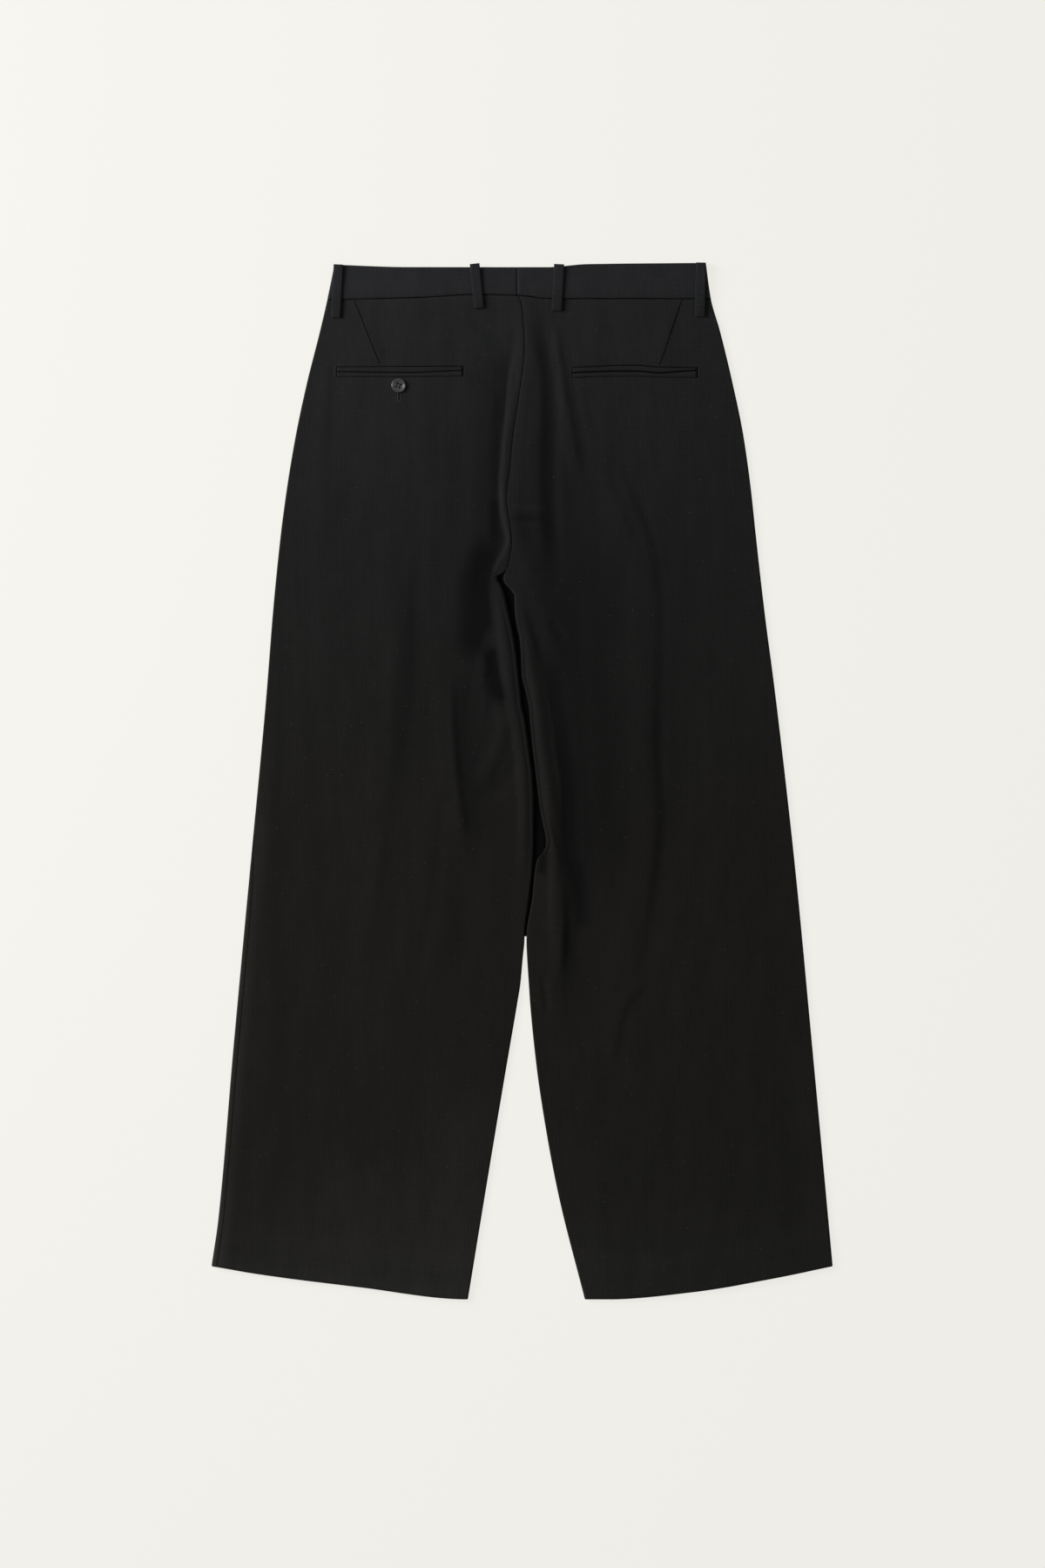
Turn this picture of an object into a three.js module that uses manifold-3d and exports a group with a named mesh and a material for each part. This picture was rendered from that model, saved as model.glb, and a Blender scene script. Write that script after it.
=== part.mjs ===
// Pleated wide-leg trousers, laid flat on a surface with the back up, as a scene graph of cloth walls.
// Millimetres. +Y runs towards the waist, +X to the right as seen from above, and +Z up from the surface.
// With the back up, left and right as seen from above are also the wearer's left and right.
import * as THREE from 'three';
import Module from 'manifold-3d';

const wasm = await Module();
wasm.setup();

// Driving sizes of the cloth
const CLOTH = 1.0; // one layer of suiting
const HEM_CLOTH = 1.8; // the turned-up hem, two layers pressed together
const BAND_CLOTH = 2.2; // the waistband, two layers with a stiffener
const BAND_LOFT = 0.35; // how far its back stands above its front, beside the gap
const SEAM_GAP = 0.3; // between two pieces where they are sewn
const HALF_GAP = SEAM_GAP / 2;
const SIDE_SEAM_UNDER = 0.35; // how far round below the middle of the folded edge a side seam or inseam lies

// Driving sizes of the garment, which is LENGTH long and HEM_SPREAD wide over both hems
const LENGTH = 1058.2;
const HEM_SPREAD = 634.6;
const TOP = LENGTH / 2;
const BOTTOM = -LENGTH / 2;
const HEM_DEPTH = 38;
const CROTCH = { x: -21.8, y: 215 };

// Outer edges of the garment, a row for each height
const OUTER_EDGES = [
  { at: 'top of waistband', y: 531, left: -191, right: 187.5 },
  { at: 'waist seam', y: 492, left: -199, right: 193 },
  { at: 'below loops', y: 460, left: -206, right: 201 },
  { at: 'pockets', y: 406, left: -219.5, right: 214 },
  { at: 'upper hip', y: 353, left: -231, right: 225 },
  { at: 'hip', y: 300, left: -240, right: 232.5 },
  { at: 'seat', y: 246, left: -247, right: 238.5 },
  { at: 'thigh', y: 175, left: -254, right: 246 },
  { at: 'mid thigh', y: 86, left: -261, right: 257.5 },
  { at: 'above knee', y: -92, left: -277, right: 278 },
  { at: 'calf', y: -270, left: -294, right: 295 },
  { at: 'above hem', y: -448, left: -310, right: 312 },
  { at: 'hem', y: -495, left: -HEM_SPREAD / 2, right: HEM_SPREAD / 2 },
];

// Inner edges of the two legs from the crotch down. They lie against each other as far as the fork
const INNER_EDGES = [
  { at: 'crotch', y: CROTCH.y, left: CROTCH.x - 0.4, right: CROTCH.x + 0.4 },
  { at: 'below crotch', y: 185, left: -13.5, right: -12 },
  { at: 'upper roll', y: 161, left: -10.5, right: -9 },
  { at: 'thigh', y: 116, left: -2.5, right: -1 },
  { at: 'mid thigh', y: 73, left: 2.5, right: 4 },
  { at: 'lower thigh', y: 28, left: 9, right: 10.5 },
  { at: 'widest', y: -20, left: 13.5, right: 15 },
  { at: 'above knee', y: -60, left: 12.5, right: 14 },
  { at: 'knee', y: -100, left: 9, right: 10.5 },
  { at: 'fork', y: -155, left: 2, right: 3.8 },
  { at: 'below fork', y: -226, left: -6, right: 8.5 },
  { at: 'calf', y: -292, left: -17.5, right: 15.5 },
  { at: 'shin', y: -359, left: -29, right: 25.5 },
  { at: 'ankle', y: -426, left: -39.5, right: 38 },
  { at: 'hem', y: BOTTOM, left: -55.6, right: 64.5 },
];

// The centre back seam from the waistband to the crotch
const CENTRE_BACK = [
  { y: 497, x: -3.5 },
  { y: 478, x: 0.5 },
  { y: 442, x: 2.2 },
  { y: 396, x: -3 },
  { y: 355, x: -9.3 },
  { y: 300, x: -13.8 },
  { y: 250, x: -10.5 },
  { y: CROTCH.y, x: CROTCH.x },
];
const BAND_SEAM_X = -4.9; // centre back and centre front seam of the waistband

// The centre front seam, which is hidden underneath
const CENTRE_FRONT = [
  { y: 497, x: BAND_SEAM_X },
  { y: 350, x: -8 },
  { y: CROTCH.y, x: CROTCH.x },
];

// Lines across the garment, a row for each place from left to right
const WAIST_TOP = [
  { x: -192, y: 526.5 },
  { x: -117, y: 523.7 },
  { x: 25, y: 523.7 },
  { x: 68, y: 527 },
  { x: 188, y: 528.5 },
];
const WAIST_SEAM = [
  { x: -199, y: 491.5 },
  { x: -105, y: 494 },
  { x: -45, y: 497 },
  { x: -5, y: 496 },
  { x: 30, y: 492.7 },
  { x: 193, y: 492.7 },
];
const HEM_LINE = [
  { x: -HEM_SPREAD / 2, y: -495.3 },
  { x: -263, y: -503.3 },
  { x: -167, y: -516.6 },
  { x: -55.6, y: BOTTOM },
  { x: 89, y: BOTTOM },
  { x: 175, y: -521 },
  { x: 260, y: -506 },
  { x: HEM_SPREAD / 2, y: -495.3 },
];

// How high the upper layer stands above the lower one
const LOFT = { edge: 1.2, flat: 1.8, reach: 50, least: 0.5 };

// The largest folds of the back, each along a path from the waist end down. rise is its height at the middle.
// left and right are how far it reaches to either side. A rise below zero is a trough
const FOLDS = [
  { name: 'fullness of the seat', rise: 2.6, left: 95, right: 95, path: [[-10, 420], [-12, 300], [-14, 120]] },
  { name: 'ridge beside the seat seam', rise: 3.2, left: 9, right: 9,
    path: [[-8, 430], [-12, 380], [-17, 335], [-19, 300], [-16, 262], [-20, 226]] },
  { name: 'hollow left of the seam', rise: -3.0, left: 22, right: 13,
    path: [[-22, 370], [-31, 292], [-36, 250], [-43, 215], [-43, 180], [-50, 150], [-64, 128]] },
  { name: 'seat ridge on the right', rise: 3.2, left: 12, right: 8,
    path: [[6, 490], [12, 442], [17, 386], [16, 345], [17, 300], [18, 262]] },
  { name: 'deep hollow right of it', rise: -3.6, left: 7, right: 10,
    path: [[16, 470], [21, 440], [27, 406], [26, 355], [26, 308], [28, 270], [30, 240]] },
  { name: 'second ridge on the right', rise: 1.8, left: 9, right: 8,
    path: [[40, 450], [41, 420], [45, 385], [52, 350]] },
  { name: 'long fold of the right leg', rise: 2.2, left: 34, right: 14,
    path: [[56, 370], [82, 337], [107, 292], [128, 245], [139, 175], [138, 95], [134, 40], [137, -40],
      [129, -115], [119, -195]] },
  { name: 'left inseam roll', rise: 2.6, left: 13, right: 16,
    path: [[-24, 195], [-18, 140], [-11, 95], [-4, 50], [3, 0], [4, -60], [0, -110]] },
  { name: 'hollow beside the left roll', rise: -1.4, left: 16, right: 10,
    path: [[-34, 190], [-33, 130], [-29, 80], [-24, 30]] },
  { name: 'right inseam roll', rise: 3.2, left: 16, right: 13,
    path: [[-6, 200], [2, 150], [9, 105], [17, 55], [26, -10], [34, -70], [40, -140], [42, -200]] },
  { name: 'hollow beside the right roll', rise: -2.0, left: 10, right: 18,
    path: [[14, 190], [24, 140], [36, 90], [46, 30], [52, -40], [54, -110], [52, -190]] },
  { name: 'soft crease of the left leg', rise: 1.2, left: 22, right: 10,
    path: [[-75, 120], [-70, 45], [-65, -10], [-57, -75]] },
  { name: 'middle of the left leg', rise: 0.8, left: 30, right: 30, path: [[-140, 190], [-148, 0], [-153, -190]] },
];

// Rows of cloth from the waist seam to the hem, in bands measured down the centre seam and the inseam
const ROW_BANDS = [
  { to: 400, steps: 5 },
  { to: CROTCH.y, steps: 9 },
  { to: -155, steps: 11 },
  { to: BOTTOM + HEM_DEPTH + 7, steps: 8 },
  { to: BOTTOM + HEM_DEPTH, steps: 1 },
  { to: BOTTOM, steps: 1 },
];

// On the left leg the side seam rolls round to the upper side, further down the leg: arc is measured along the
// cloth from the outermost point of the fold
const LEFT_SIDE_SEAM = [
  { y: 500, arc: -SIDE_SEAM_UNDER },
  { y: 0, arc: -SIDE_SEAM_UNDER },
  { y: -145, arc: 5.4 },
  { y: BOTTOM, arc: 5.8 },
];

// The front is pressed flat underneath. Each front has two pleats, where the cloth steps up at the
// pleat's edge and comes back down to the surface behind it. across runs from the side seam to the centre
const PLEAT = { step: 0.5, length: 175 };
const FRONT_COLUMNS = [
  { across: 0.26, lift: 0 },
  { across: 0.355, lift: 1 },
  { across: 0.362, lift: 0 },
  { across: 0.44, lift: 0 },
  { across: 0.535, lift: 1 },
  { across: 0.542, lift: 0 },
];
const BACK_COLUMNS = 17; // columns of the flat part of a back, crowded towards the seat seam and the inseam
const BAND_COLUMNS = 24; // columns of the flat part of a back half of the waistband
const FRONT_BAND_COLUMNS = 4;
const CROWDING = 0.5;
const EDGE_STEPS = 3; // columns round a folded edge
const ROLLED_SEAM_STEPS = 6; // columns round the edge that a side seam has rolled over
const EDGE_RUN = 2; // flat cloth between a rounded edge and the first column
const SEAM_COLUMN = 1.4; // width of the columns beside a plain seam
const EDGE_HEIGHT_AT = 3; // how far in from an edge its height is read

// Pockets, button and belt loops
const POCKET = { length: 130, welt: 4.8, slit: 0.8, cloth: 1.0, columns: 9 };
const POCKETS = [
  { side: 'left', x: -125, y: 418.2 },
  { side: 'right', x: 116, y: 418 },
];
const BUTTON = { x: -126.1, y: 403.7, radius: 7.5, height: 3, hole: 0.9, holeFromCentre: 2, turn: 20 };
const FLY_SHIELD = { left: -24, right: 15, bottom: 300, corner: 18, cloth: 1.0 };
const LOOP = { cloth: 1.5, tab: 7, corner: 1 };
const LOOPS = [
  { name: 'belt_loop_side_left', width: 8, top: { x: -188, y: 527 }, bottom: { x: -190.5, y: 473 } },
  { name: 'belt_loop_back_left', width: 9.5, top: { x: -48.5, y: 528 }, bottom: { x: -44, y: 482.5 } },
  { name: 'belt_loop_back_right', width: 10, top: { x: 37.8, y: 527.5 }, bottom: { x: 35.2, y: 480 } },
  { name: 'belt_loop_side_right', width: 9, top: { x: 183, y: TOP }, bottom: { x: 182, y: 474 } },
];

const suiting = new THREE.MeshStandardMaterial({ color: 0x1f1f20, roughness: 0.95, metalness: 0 });
const horn = new THREE.MeshStandardMaterial({ color: 0x3b332d, roughness: 0.4, metalness: 0 });

// Small tools

const mix = (a, b, share) => a + (b - a) * share;
const clamp = (value, low, high) => Math.min(Math.max(value, low), high);

function smoothStep(share) {
  const s = clamp(share, 0, 1);
  return s * s * (3 - 2 * s);
}

// A smooth curve through a table's rows that never swings past them
function curveThrough(table, along, value) {
  const rows = [...table].sort((a, b) => a[along] - b[along]);
  const at = rows.map((row) => row[along]);
  const out = rows.map((row) => row[value]);
  const chord = at.slice(1).map((end, i) => (out[i + 1] - out[i]) / (end - at[i]));
  const slope = at.map((_, i) => {
    if (i === 0) return chord[0];
    if (i === at.length - 1) return chord[i - 1];
    const product = chord[i - 1] * chord[i];
    return product > 0 ? (2 * product) / (chord[i - 1] + chord[i]) : 0;
  });
  return (asked) => {
    const t = clamp(asked, at[0], at[at.length - 1]);
    let i = 0;
    while (i < at.length - 2 && t > at[i + 1]) i += 1;
    const width = at[i + 1] - at[i];
    const s = (t - at[i]) / width;
    const bend = slope[i] * (1 - s) * (1 - s) * s - slope[i + 1] * s * s * (1 - s);
    return mix(out[i], out[i + 1], smoothStep(s)) + width * bend;
  };
}

const bothSides = (table) => ({ left: curveThrough(table, 'y', 'left'), right: curveThrough(table, 'y', 'right') });
const outerEdge = bothSides(OUTER_EDGES);
const innerEdge = bothSides(INNER_EDGES);
const centreBack = curveThrough(CENTRE_BACK, 'y', 'x');
const centreFront = curveThrough(CENTRE_FRONT, 'y', 'x');
const waistTop = curveThrough(WAIST_TOP, 'x', 'y');
const waistSeam = curveThrough(WAIST_SEAM, 'x', 'y');
const hemLine = curveThrough(HEM_LINE, 'x', 'y');
const leftSideSeam = curveThrough(LEFT_SIDE_SEAM, 'y', 'arc');

// The hidden front is cut straight from the side to the centre at its waist seam
function frontWaistSeam(x) {
  const side = x < BAND_SEAM_X ? WAIST_SEAM[0] : WAIST_SEAM[WAIST_SEAM.length - 1];
  return mix(side.y, waistSeam(BAND_SEAM_X), (side.x - x) / (side.x - BAND_SEAM_X));
}
const waistSeamOf = (upper) => (upper ? waistSeam : frontWaistSeam);

// Height of one fold at a point: full along its path, fading to nothing at its reach and towards both ends
function foldHeight({ rise, left, right, path }, x, y) {
  let best = { distance: Infinity };
  let walked = 0;
  for (let i = 0; i < path.length - 1; i += 1) {
    const [ax, ay] = path[i];
    const [dx, dy] = [path[i + 1][0] - ax, path[i + 1][1] - ay];
    const run = Math.hypot(dx, dy);
    const s = clamp(((x - ax) * dx + (y - ay) * dy) / (run * run), 0, 1);
    const [ox, oy] = [x - ax - dx * s, y - ay - dy * s];
    const distance = Math.hypot(ox, oy);
    const toRight = dx * oy - dy * ox > 0;
    if (distance < best.distance) best = { distance, toRight, along: walked + run * s };
    walked += run;
  }
  const reach = best.toRight ? right : left;
  const across = clamp(1 - (best.distance / reach) ** 2, 0, 1) ** 2;
  const ends = smoothStep((4 * Math.min(best.along, walked - best.along)) / walked + 0.1);
  return rise * across * ends;
}

// How far the upper layer stands above the lower one, without any wall thickness
function loft(x, y) {
  const middle = y > CROTCH.y ? centreBack(y) : (innerEdge.left(y) + innerEdge.right(y)) / 2;
  const side = x < middle ? 'left' : 'right';
  const toOuter = Math.abs(x - outerEdge[side](y));
  const toInner = y > CROTCH.y ? Infinity : Math.abs(x - innerEdge[side](y));
  const plain = mix(LOFT.edge, LOFT.flat, smoothStep(Math.min(toOuter, toInner) / LOFT.reach));
  const height = FOLDS.reduce((sum, fold) => sum + foldHeight(fold, x, y), plain);
  return 0.5 * (height + Math.hypot(height, LOFT.least));
}

// Height of the middle of the upper layer, where both layers are wall thick
const upperMiddle = (x, y, wall) => wall + SEAM_GAP + wall / 2 + loft(x, y);

// A point on the middle of the cloth, and the way its face looks, where the cloth goes round a folded edge.
// edge is the middle of the cloth at its outermost, inward is +1 or -1 along X, and arc is the way along the cloth
// from there, over the top when it is positive
function roundTheEdge({ edge, inward, low, high, arc }) {
  const radius = (high - low) / 2;
  const quarter = (radius * Math.PI) / 2;
  if (Math.abs(arc) >= quarter) {
    const run = radius + Math.abs(arc) - quarter;
    const up = Math.sign(arc);
    return { x: edge + inward * run, z: up > 0 ? high : low, nx: 0, nz: up };
  }
  const angle = arc / radius;
  const [c, s] = [Math.cos(angle), Math.sin(angle)];
  return { x: edge + inward * radius * (1 - c), z: low + radius + radius * s, nx: -inward * c, nz: s };
}

// A closed wall of cloth from a grid of middle points, each with the way its face looks and its thickness
function clothWall(grid) {
  const rows = grid.length;
  const columns = grid[0].length;
  const positions = [];
  for (const face of [0.5, -0.5]) {
    for (const point of grid.flat()) {
      const out = face * point.wall;
      positions.push(point.x + point.nx * out, point.y, point.z + point.nz * out);
    }
  }
  const at = (face, row, column) => face * rows * columns + row * columns + column;
  const triangles = [];
  const quad = (a, b, c, d) => triangles.push(a, b, c, a, c, d);
  for (let r = 0; r < rows - 1; r += 1) {
    for (let c = 0; c < columns - 1; c += 1) {
      quad(at(0, r, c), at(0, r, c + 1), at(0, r + 1, c + 1), at(0, r + 1, c));
      quad(at(1, r, c), at(1, r + 1, c), at(1, r + 1, c + 1), at(1, r, c + 1));
    }
    quad(at(0, r, 0), at(0, r + 1, 0), at(1, r + 1, 0), at(1, r, 0));
    quad(at(0, r + 1, columns - 1), at(0, r, columns - 1), at(1, r, columns - 1), at(1, r + 1, columns - 1));
  }
  for (let c = 0; c < columns - 1; c += 1) {
    quad(at(0, 0, c + 1), at(0, 0, c), at(1, 0, c), at(1, 0, c + 1));
    quad(at(0, rows - 1, c), at(0, rows - 1, c + 1), at(1, rows - 1, c + 1), at(1, rows - 1, c));
  }
  return facingOut(positions, triangles);
}

// Turns every face the other way where the solid would otherwise be inside out
function facingOut(positions, triangles) {
  const point = (i) => new THREE.Vector3(...positions.slice(3 * i, 3 * i + 3));
  let volume = 0;
  for (let i = 0; i < triangles.length; i += 3) {
    volume += point(triangles[i]).dot(point(triangles[i + 1]).cross(point(triangles[i + 2])));
  }
  if (volume < 0) triangles.reverse();
  const geometry = new THREE.BufferGeometry();
  geometry.setAttribute('position', new THREE.Float32BufferAttribute(positions, 3));
  geometry.setIndex(triangles);
  geometry.computeVertexNormals();
  return geometry;
}

// Leg panels

// Shares of the way from the waist seam to the hem at which there is a row, with the cloth's thickness there
function legRows() {
  const start = waistSeam(0);
  const rows = [{ share: 0, wall: CLOTH }];
  let from = start;
  for (const { to, steps } of ROW_BANDS) {
    for (let i = 1; i <= steps; i += 1) {
      const y = mix(from, to, i / steps);
      const wall = y <= BOTTOM + HEM_DEPTH + 0.5 ? HEM_CLOTH : CLOTH;
      rows.push({ share: (start - y) / (start - BOTTOM), wall });
    }
    from = to;
  }
  return rows;
}

// The line of one row across the garment, as a height for each place, and where it meets an edge
const rowLine = (share, upper) => (x) => mix(waistSeamOf(upper)(x) - SEAM_GAP, hemLine(x), share);

function meet(line, edge) {
  let y = line(0);
  for (let i = 0; i < 8; i += 1) y = line(edge(y));
  return { x: edge(y), y };
}

// Where one side's cloth ends at the middle of the garment on a row: a plain seam above the crotch, and the folded
// inner edge of the leg below it
function innerEnd(side, line, seam) {
  const leg = meet(line, innerEdge[side]);
  if (leg.y <= CROTCH.y + 0.01) return { ...leg, folded: true };
  return { ...meet(line, seam), folded: false };
}

// One panel of one side. upper is true for the back, which lies on top
function legPanel(side, upper) {
  const outward = side === 'left' ? -1 : 1;
  const seam = upper ? centreBack : centreFront;
  const grid = legRows().map(({ share, wall }) => {
    const line = rowLine(share, upper);
    const outer = meet(line, outerEdge[side]);
    const inner = innerEnd(side, line, seam);
    const low = wall / 2;
    const high = (end, inward) => upperMiddle(end.x + inward * EDGE_HEIGHT_AT, end.y, wall);
    const seamArc = side === 'left' ? leftSideSeam(outer.y) : -SIDE_SEAM_UNDER;
    const outerFold = { edge: outer.x - outward * low, inward: -outward, low, high: high(outer, -outward) };
    const innerFold = { edge: inner.x + outward * low, inward: outward, low, high: high(inner, outward) };
    const outerSteps = side === 'left' && !upper ? ROLLED_SEAM_STEPS : EDGE_STEPS;
    const outerColumns = foldedColumns(outerFold, seamArc, upper, outerSteps);
    const innerColumns = inner.folded
      ? foldedColumns(innerFold, -SIDE_SEAM_UNDER, upper, EDGE_STEPS).reverse()
      : seamColumns(inner.x + outward * HALF_GAP, outward, upper, EDGE_STEPS);
    const from = outerColumns[outerColumns.length - 1].x;
    const to = innerColumns[0].x;
    const pleat = PLEAT.step * smoothStep(1 - (share * LENGTH) / PLEAT.length);
    const flatColumns = (upper ? backColumns() : FRONT_COLUMNS).map(({ across, lift = 0 }) => (
      { x: mix(from, to, across), z: low + lift * pleat, nx: 0, nz: upper ? 1 : -1 }
    ));
    return [...outerColumns, ...flatColumns, ...innerColumns].map(({ x, z, nx, nz }) => {
      const y = line(x);
      return { x, y, z: upper && nz === 1 ? upperMiddle(x, y, wall) : z, nx, nz, wall };
    });
  });
  return clothWall(grid);
}

// The columns round a folded edge, from its seam to the flat cloth
function foldedColumns(fold, seamArc, upper, steps) {
  const quarter = ((fold.high - fold.low) / 2) * (Math.PI / 2);
  const start = upper ? seamArc + HALF_GAP : seamArc - HALF_GAP;
  const end = upper ? Math.max(quarter, start) + EDGE_RUN : -quarter - EDGE_RUN;
  const columns = [];
  for (let i = 0; i <= steps; i += 1) {
    columns.push(roundTheEdge({ ...fold, arc: mix(start, end, i / steps) }));
  }
  return columns;
}

// The columns of flat cloth that end at a plain seam
function seamColumns(x, outward, upper, steps) {
  const columns = [];
  for (let i = steps; i >= 0; i -= 1) {
    columns.push({ x: x + outward * i * SEAM_COLUMN, z: CLOTH / 2, nx: 0, nz: upper ? 1 : -1 });
  }
  return columns;
}

function backColumns() {
  const columns = [];
  for (let i = 1; i < BACK_COLUMNS; i += 1) {
    const s = i / BACK_COLUMNS;
    columns.push({ across: s + CROWDING * s * (1 - s) });
  }
  return columns;
}

// Waistband halves

function bandHalf(side, upper) {
  const outward = side === 'left' ? -1 : 1;
  const low = BAND_CLOTH / 2;
  const high = BAND_CLOTH * 1.5 + SEAM_GAP + BAND_LOFT;
  const flat = upper ? BAND_COLUMNS : FRONT_BAND_COLUMNS;
  const grid = [0, 0.5, 1].map((share) => {
    const line = (x) => mix(waistTop(x), waistSeamOf(upper)(x), share);
    const outer = meet(line, outerEdge[side]);
    const fold = { edge: outer.x - outward * low, inward: -outward, low, high };
    const edge = foldedColumns(fold, -SIDE_SEAM_UNDER, upper, EDGE_STEPS);
    const seamX = BAND_SEAM_X + outward * HALF_GAP;
    const from = edge[edge.length - 1].x;
    const columns = [...edge];
    for (let i = 1; i <= flat; i += 1) {
      columns.push({ x: mix(from, seamX, i / flat), z: upper ? high : low, nx: 0, nz: upper ? 1 : -1 });
    }
    return columns.map((column) => ({ ...column, y: line(column.x), wall: BAND_CLOTH }));
  });
  return clothWall(grid);
}

// The highest point of a panel's own faces under a small piece, looked for over a rectangle
const plumbLine = new THREE.Raycaster();

function highestUnder(panel, { x, y, reachX, reachY }) {
  let highest = -Infinity;
  for (let i = -2; i <= 2; i += 1) {
    for (let j = -2; j <= 2; j += 1) {
      const above = new THREE.Vector3(x + (reachX * i) / 2, y + (reachY * j) / 2, 100);
      plumbLine.set(above, new THREE.Vector3(0, 0, -1));
      const [hit] = plumbLine.intersectObject(panel);
      if (hit) highest = Math.max(highest, hit.point.z);
    }
  }
  return highest;
}

// Pocket welts: strips that lie on the back, above and below the slit

function welt({ x, y }, panel, above) {
  const { length, welt: height, slit, cloth, columns } = POCKET;
  const step = length / (columns - 1);
  const near = y + (above ? slit / 2 : -slit / 2);
  const far = near + (above ? height : -height);
  const grid = [near, far].map((edge) => {
    const row = [];
    for (let i = 0; i < columns; i += 1) {
      const at = x - length / 2 + i * step;
      const spot = { x: at, y: (near + far) / 2, reachX: step * 0.6, reachY: height / 2 };
      const seat = highestUnder(panel, spot);
      row.push({ x: at, y: edge, z: seat + SEAM_GAP + cloth / 2, nx: 0, nz: 1, wall: cloth });
    }
    return row;
  });
  return clothWall(grid);
}

// Button: a turned disc with a raised rim and four holes

function toManifold(geometry) {
  const position = geometry.getAttribute('position');
  const merged = new Map();
  const vertices = [];
  const index = [];
  for (let i = 0; i < position.count; i += 1) {
    const exact = [position.getX(i), position.getY(i), position.getZ(i)];
    // Adding 0 turns a rounded -0 into 0, so that both make the same key
    const xyz = exact.map((value) => Math.round(value * 1e4) / 1e4 + 0);
    const key = xyz.join(' ');
    if (!merged.has(key)) {
      merged.set(key, merged.size);
      vertices.push(...xyz);
    }
    index.push(merged.get(key));
  }
  const triangles = [];
  const source = geometry.getIndex().array;
  for (let i = 0; i < source.length; i += 3) {
    const corners = [index[source[i]], index[source[i + 1]], index[source[i + 2]]];
    if (new Set(corners).size === 3) triangles.push(...corners);
  }
  const mesh = new wasm.Mesh({
    numProp: 3,
    vertProperties: new Float32Array(vertices),
    triVerts: new Uint32Array(triangles),
  });
  return new wasm.Manifold(mesh);
}

function buttonShape() {
  const { radius, height, hole, holeFromCentre, turn } = BUTTON;
  const profile = [
    [0, 0],
    [radius - 1.6, 0],
    [radius, height * 0.45],
    [radius, height * 0.75],
    [radius - 0.7, height],
    [radius - 1.5, height],
    [radius - 2.3, height * 0.7],
    [0, height * 0.66],
  ];
  const disc = new THREE.LatheGeometry(profile.map(([r, z]) => new THREE.Vector2(r, z)), 28);
  disc.rotateX(Math.PI / 2);
  let solid = toManifold(disc);
  for (let i = 0; i < 4; i += 1) {
    const angle = THREE.MathUtils.degToRad(turn + 45 + 90 * i);
    const drill = new THREE.CylinderGeometry(hole, hole, height * 3, 8);
    drill.rotateX(Math.PI / 2);
    drill.translate(holeFromCentre * Math.cos(angle), holeFromCentre * Math.sin(angle), 0);
    solid = solid.subtract(toManifold(drill));
  }
  const { vertProperties, triVerts } = solid.getMesh();
  return facingOut(Array.from(vertProperties), Array.from(triVerts));
}

// Belt loops: a folded strap that bridges the waistband, with its two ends turned under and sewn down

function beltLoop({ width, top, bottom }, panel) {
  const { cloth, tab, corner } = LOOP;
  const bandSurface = 2 * BAND_CLOTH + SEAM_GAP + BAND_LOFT;
  const run = Math.hypot(top.x - bottom.x, top.y - bottom.y);
  const seatTop = bandSurface + SEAM_GAP;
  const seat = { x: bottom.x, y: bottom.y + tab / 2, reachX: width / 2, reachY: tab / 2 };
  const seatBottom = highestUnder(panel, seat) + SEAM_GAP;
  const [highTop, highBottom] = [seatTop + 2 * cloth, seatBottom + 2 * cloth];
  const shape = new THREE.Shape();
  shape.moveTo(0, seatBottom);
  shape.lineTo(tab, seatBottom);
  shape.lineTo(tab + corner, highBottom - cloth);
  shape.lineTo(run - tab - corner, highTop - cloth);
  shape.lineTo(run - tab, seatTop);
  shape.lineTo(run - corner / 2, seatTop);
  shape.quadraticCurveTo(run, seatTop, run, seatTop + corner);
  shape.lineTo(run, highTop - corner);
  shape.quadraticCurveTo(run, highTop, run - corner, highTop);
  shape.lineTo(corner, highBottom);
  shape.quadraticCurveTo(0, highBottom, 0, highBottom - corner);
  const strap = new THREE.ExtrudeGeometry(shape, { depth: width, bevelEnabled: false, curveSegments: 3 });
  strap.translate(0, 0, -width / 2);
  // The outline was drawn with its run along X and its height along Y
  strap.rotateX(Math.PI / 2);
  strap.rotateZ(Math.atan2(top.y - bottom.y, top.x - bottom.x));
  strap.translate(bottom.x, bottom.y, 0);
  return strap;
}

// Fly shield: the strip behind the front opening, between the layers

function flyShield() {
  const { left, right, bottom, corner, cloth } = FLY_SHIELD;
  const top = waistSeam(left) - 2;
  const shape = new THREE.Shape();
  shape.moveTo(left, top);
  shape.lineTo(left, bottom + corner);
  shape.quadraticCurveTo(left, bottom, left + corner, bottom);
  shape.lineTo(right, bottom);
  shape.lineTo(right, waistSeam(right) - 2);
  const strip = new THREE.ExtrudeGeometry(shape, { depth: cloth, bevelEnabled: false, curveSegments: 4 });
  strip.translate(0, 0, CLOTH + SEAM_GAP);
  return strip;
}

// The garment

function piece(name, geometry, material = suiting) {
  const mesh = new THREE.Mesh(geometry, material);
  mesh.name = name;
  return mesh;
}

const group = new THREE.Group();
const backs = {};
for (const side of ['left', 'right']) {
  backs[side] = piece(`back_${side}`, legPanel(side, true));
  group.add(backs[side]);
  group.add(piece(`front_${side}`, legPanel(side, false)));
  group.add(piece(`waistband_back_${side}`, bandHalf(side, true)));
  group.add(piece(`waistband_front_${side}`, bandHalf(side, false)));
}
group.add(piece('fly_shield', flyShield()));
for (const pocket of POCKETS) {
  group.add(piece(`pocket_${pocket.side}_upper_welt`, welt(pocket, backs[pocket.side], true)));
  group.add(piece(`pocket_${pocket.side}_lower_welt`, welt(pocket, backs[pocket.side], false)));
}
for (const loop of LOOPS) {
  const panel = loop.bottom.x < 0 ? backs.left : backs.right;
  group.add(piece(loop.name, beltLoop(loop, panel)));
}

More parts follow.
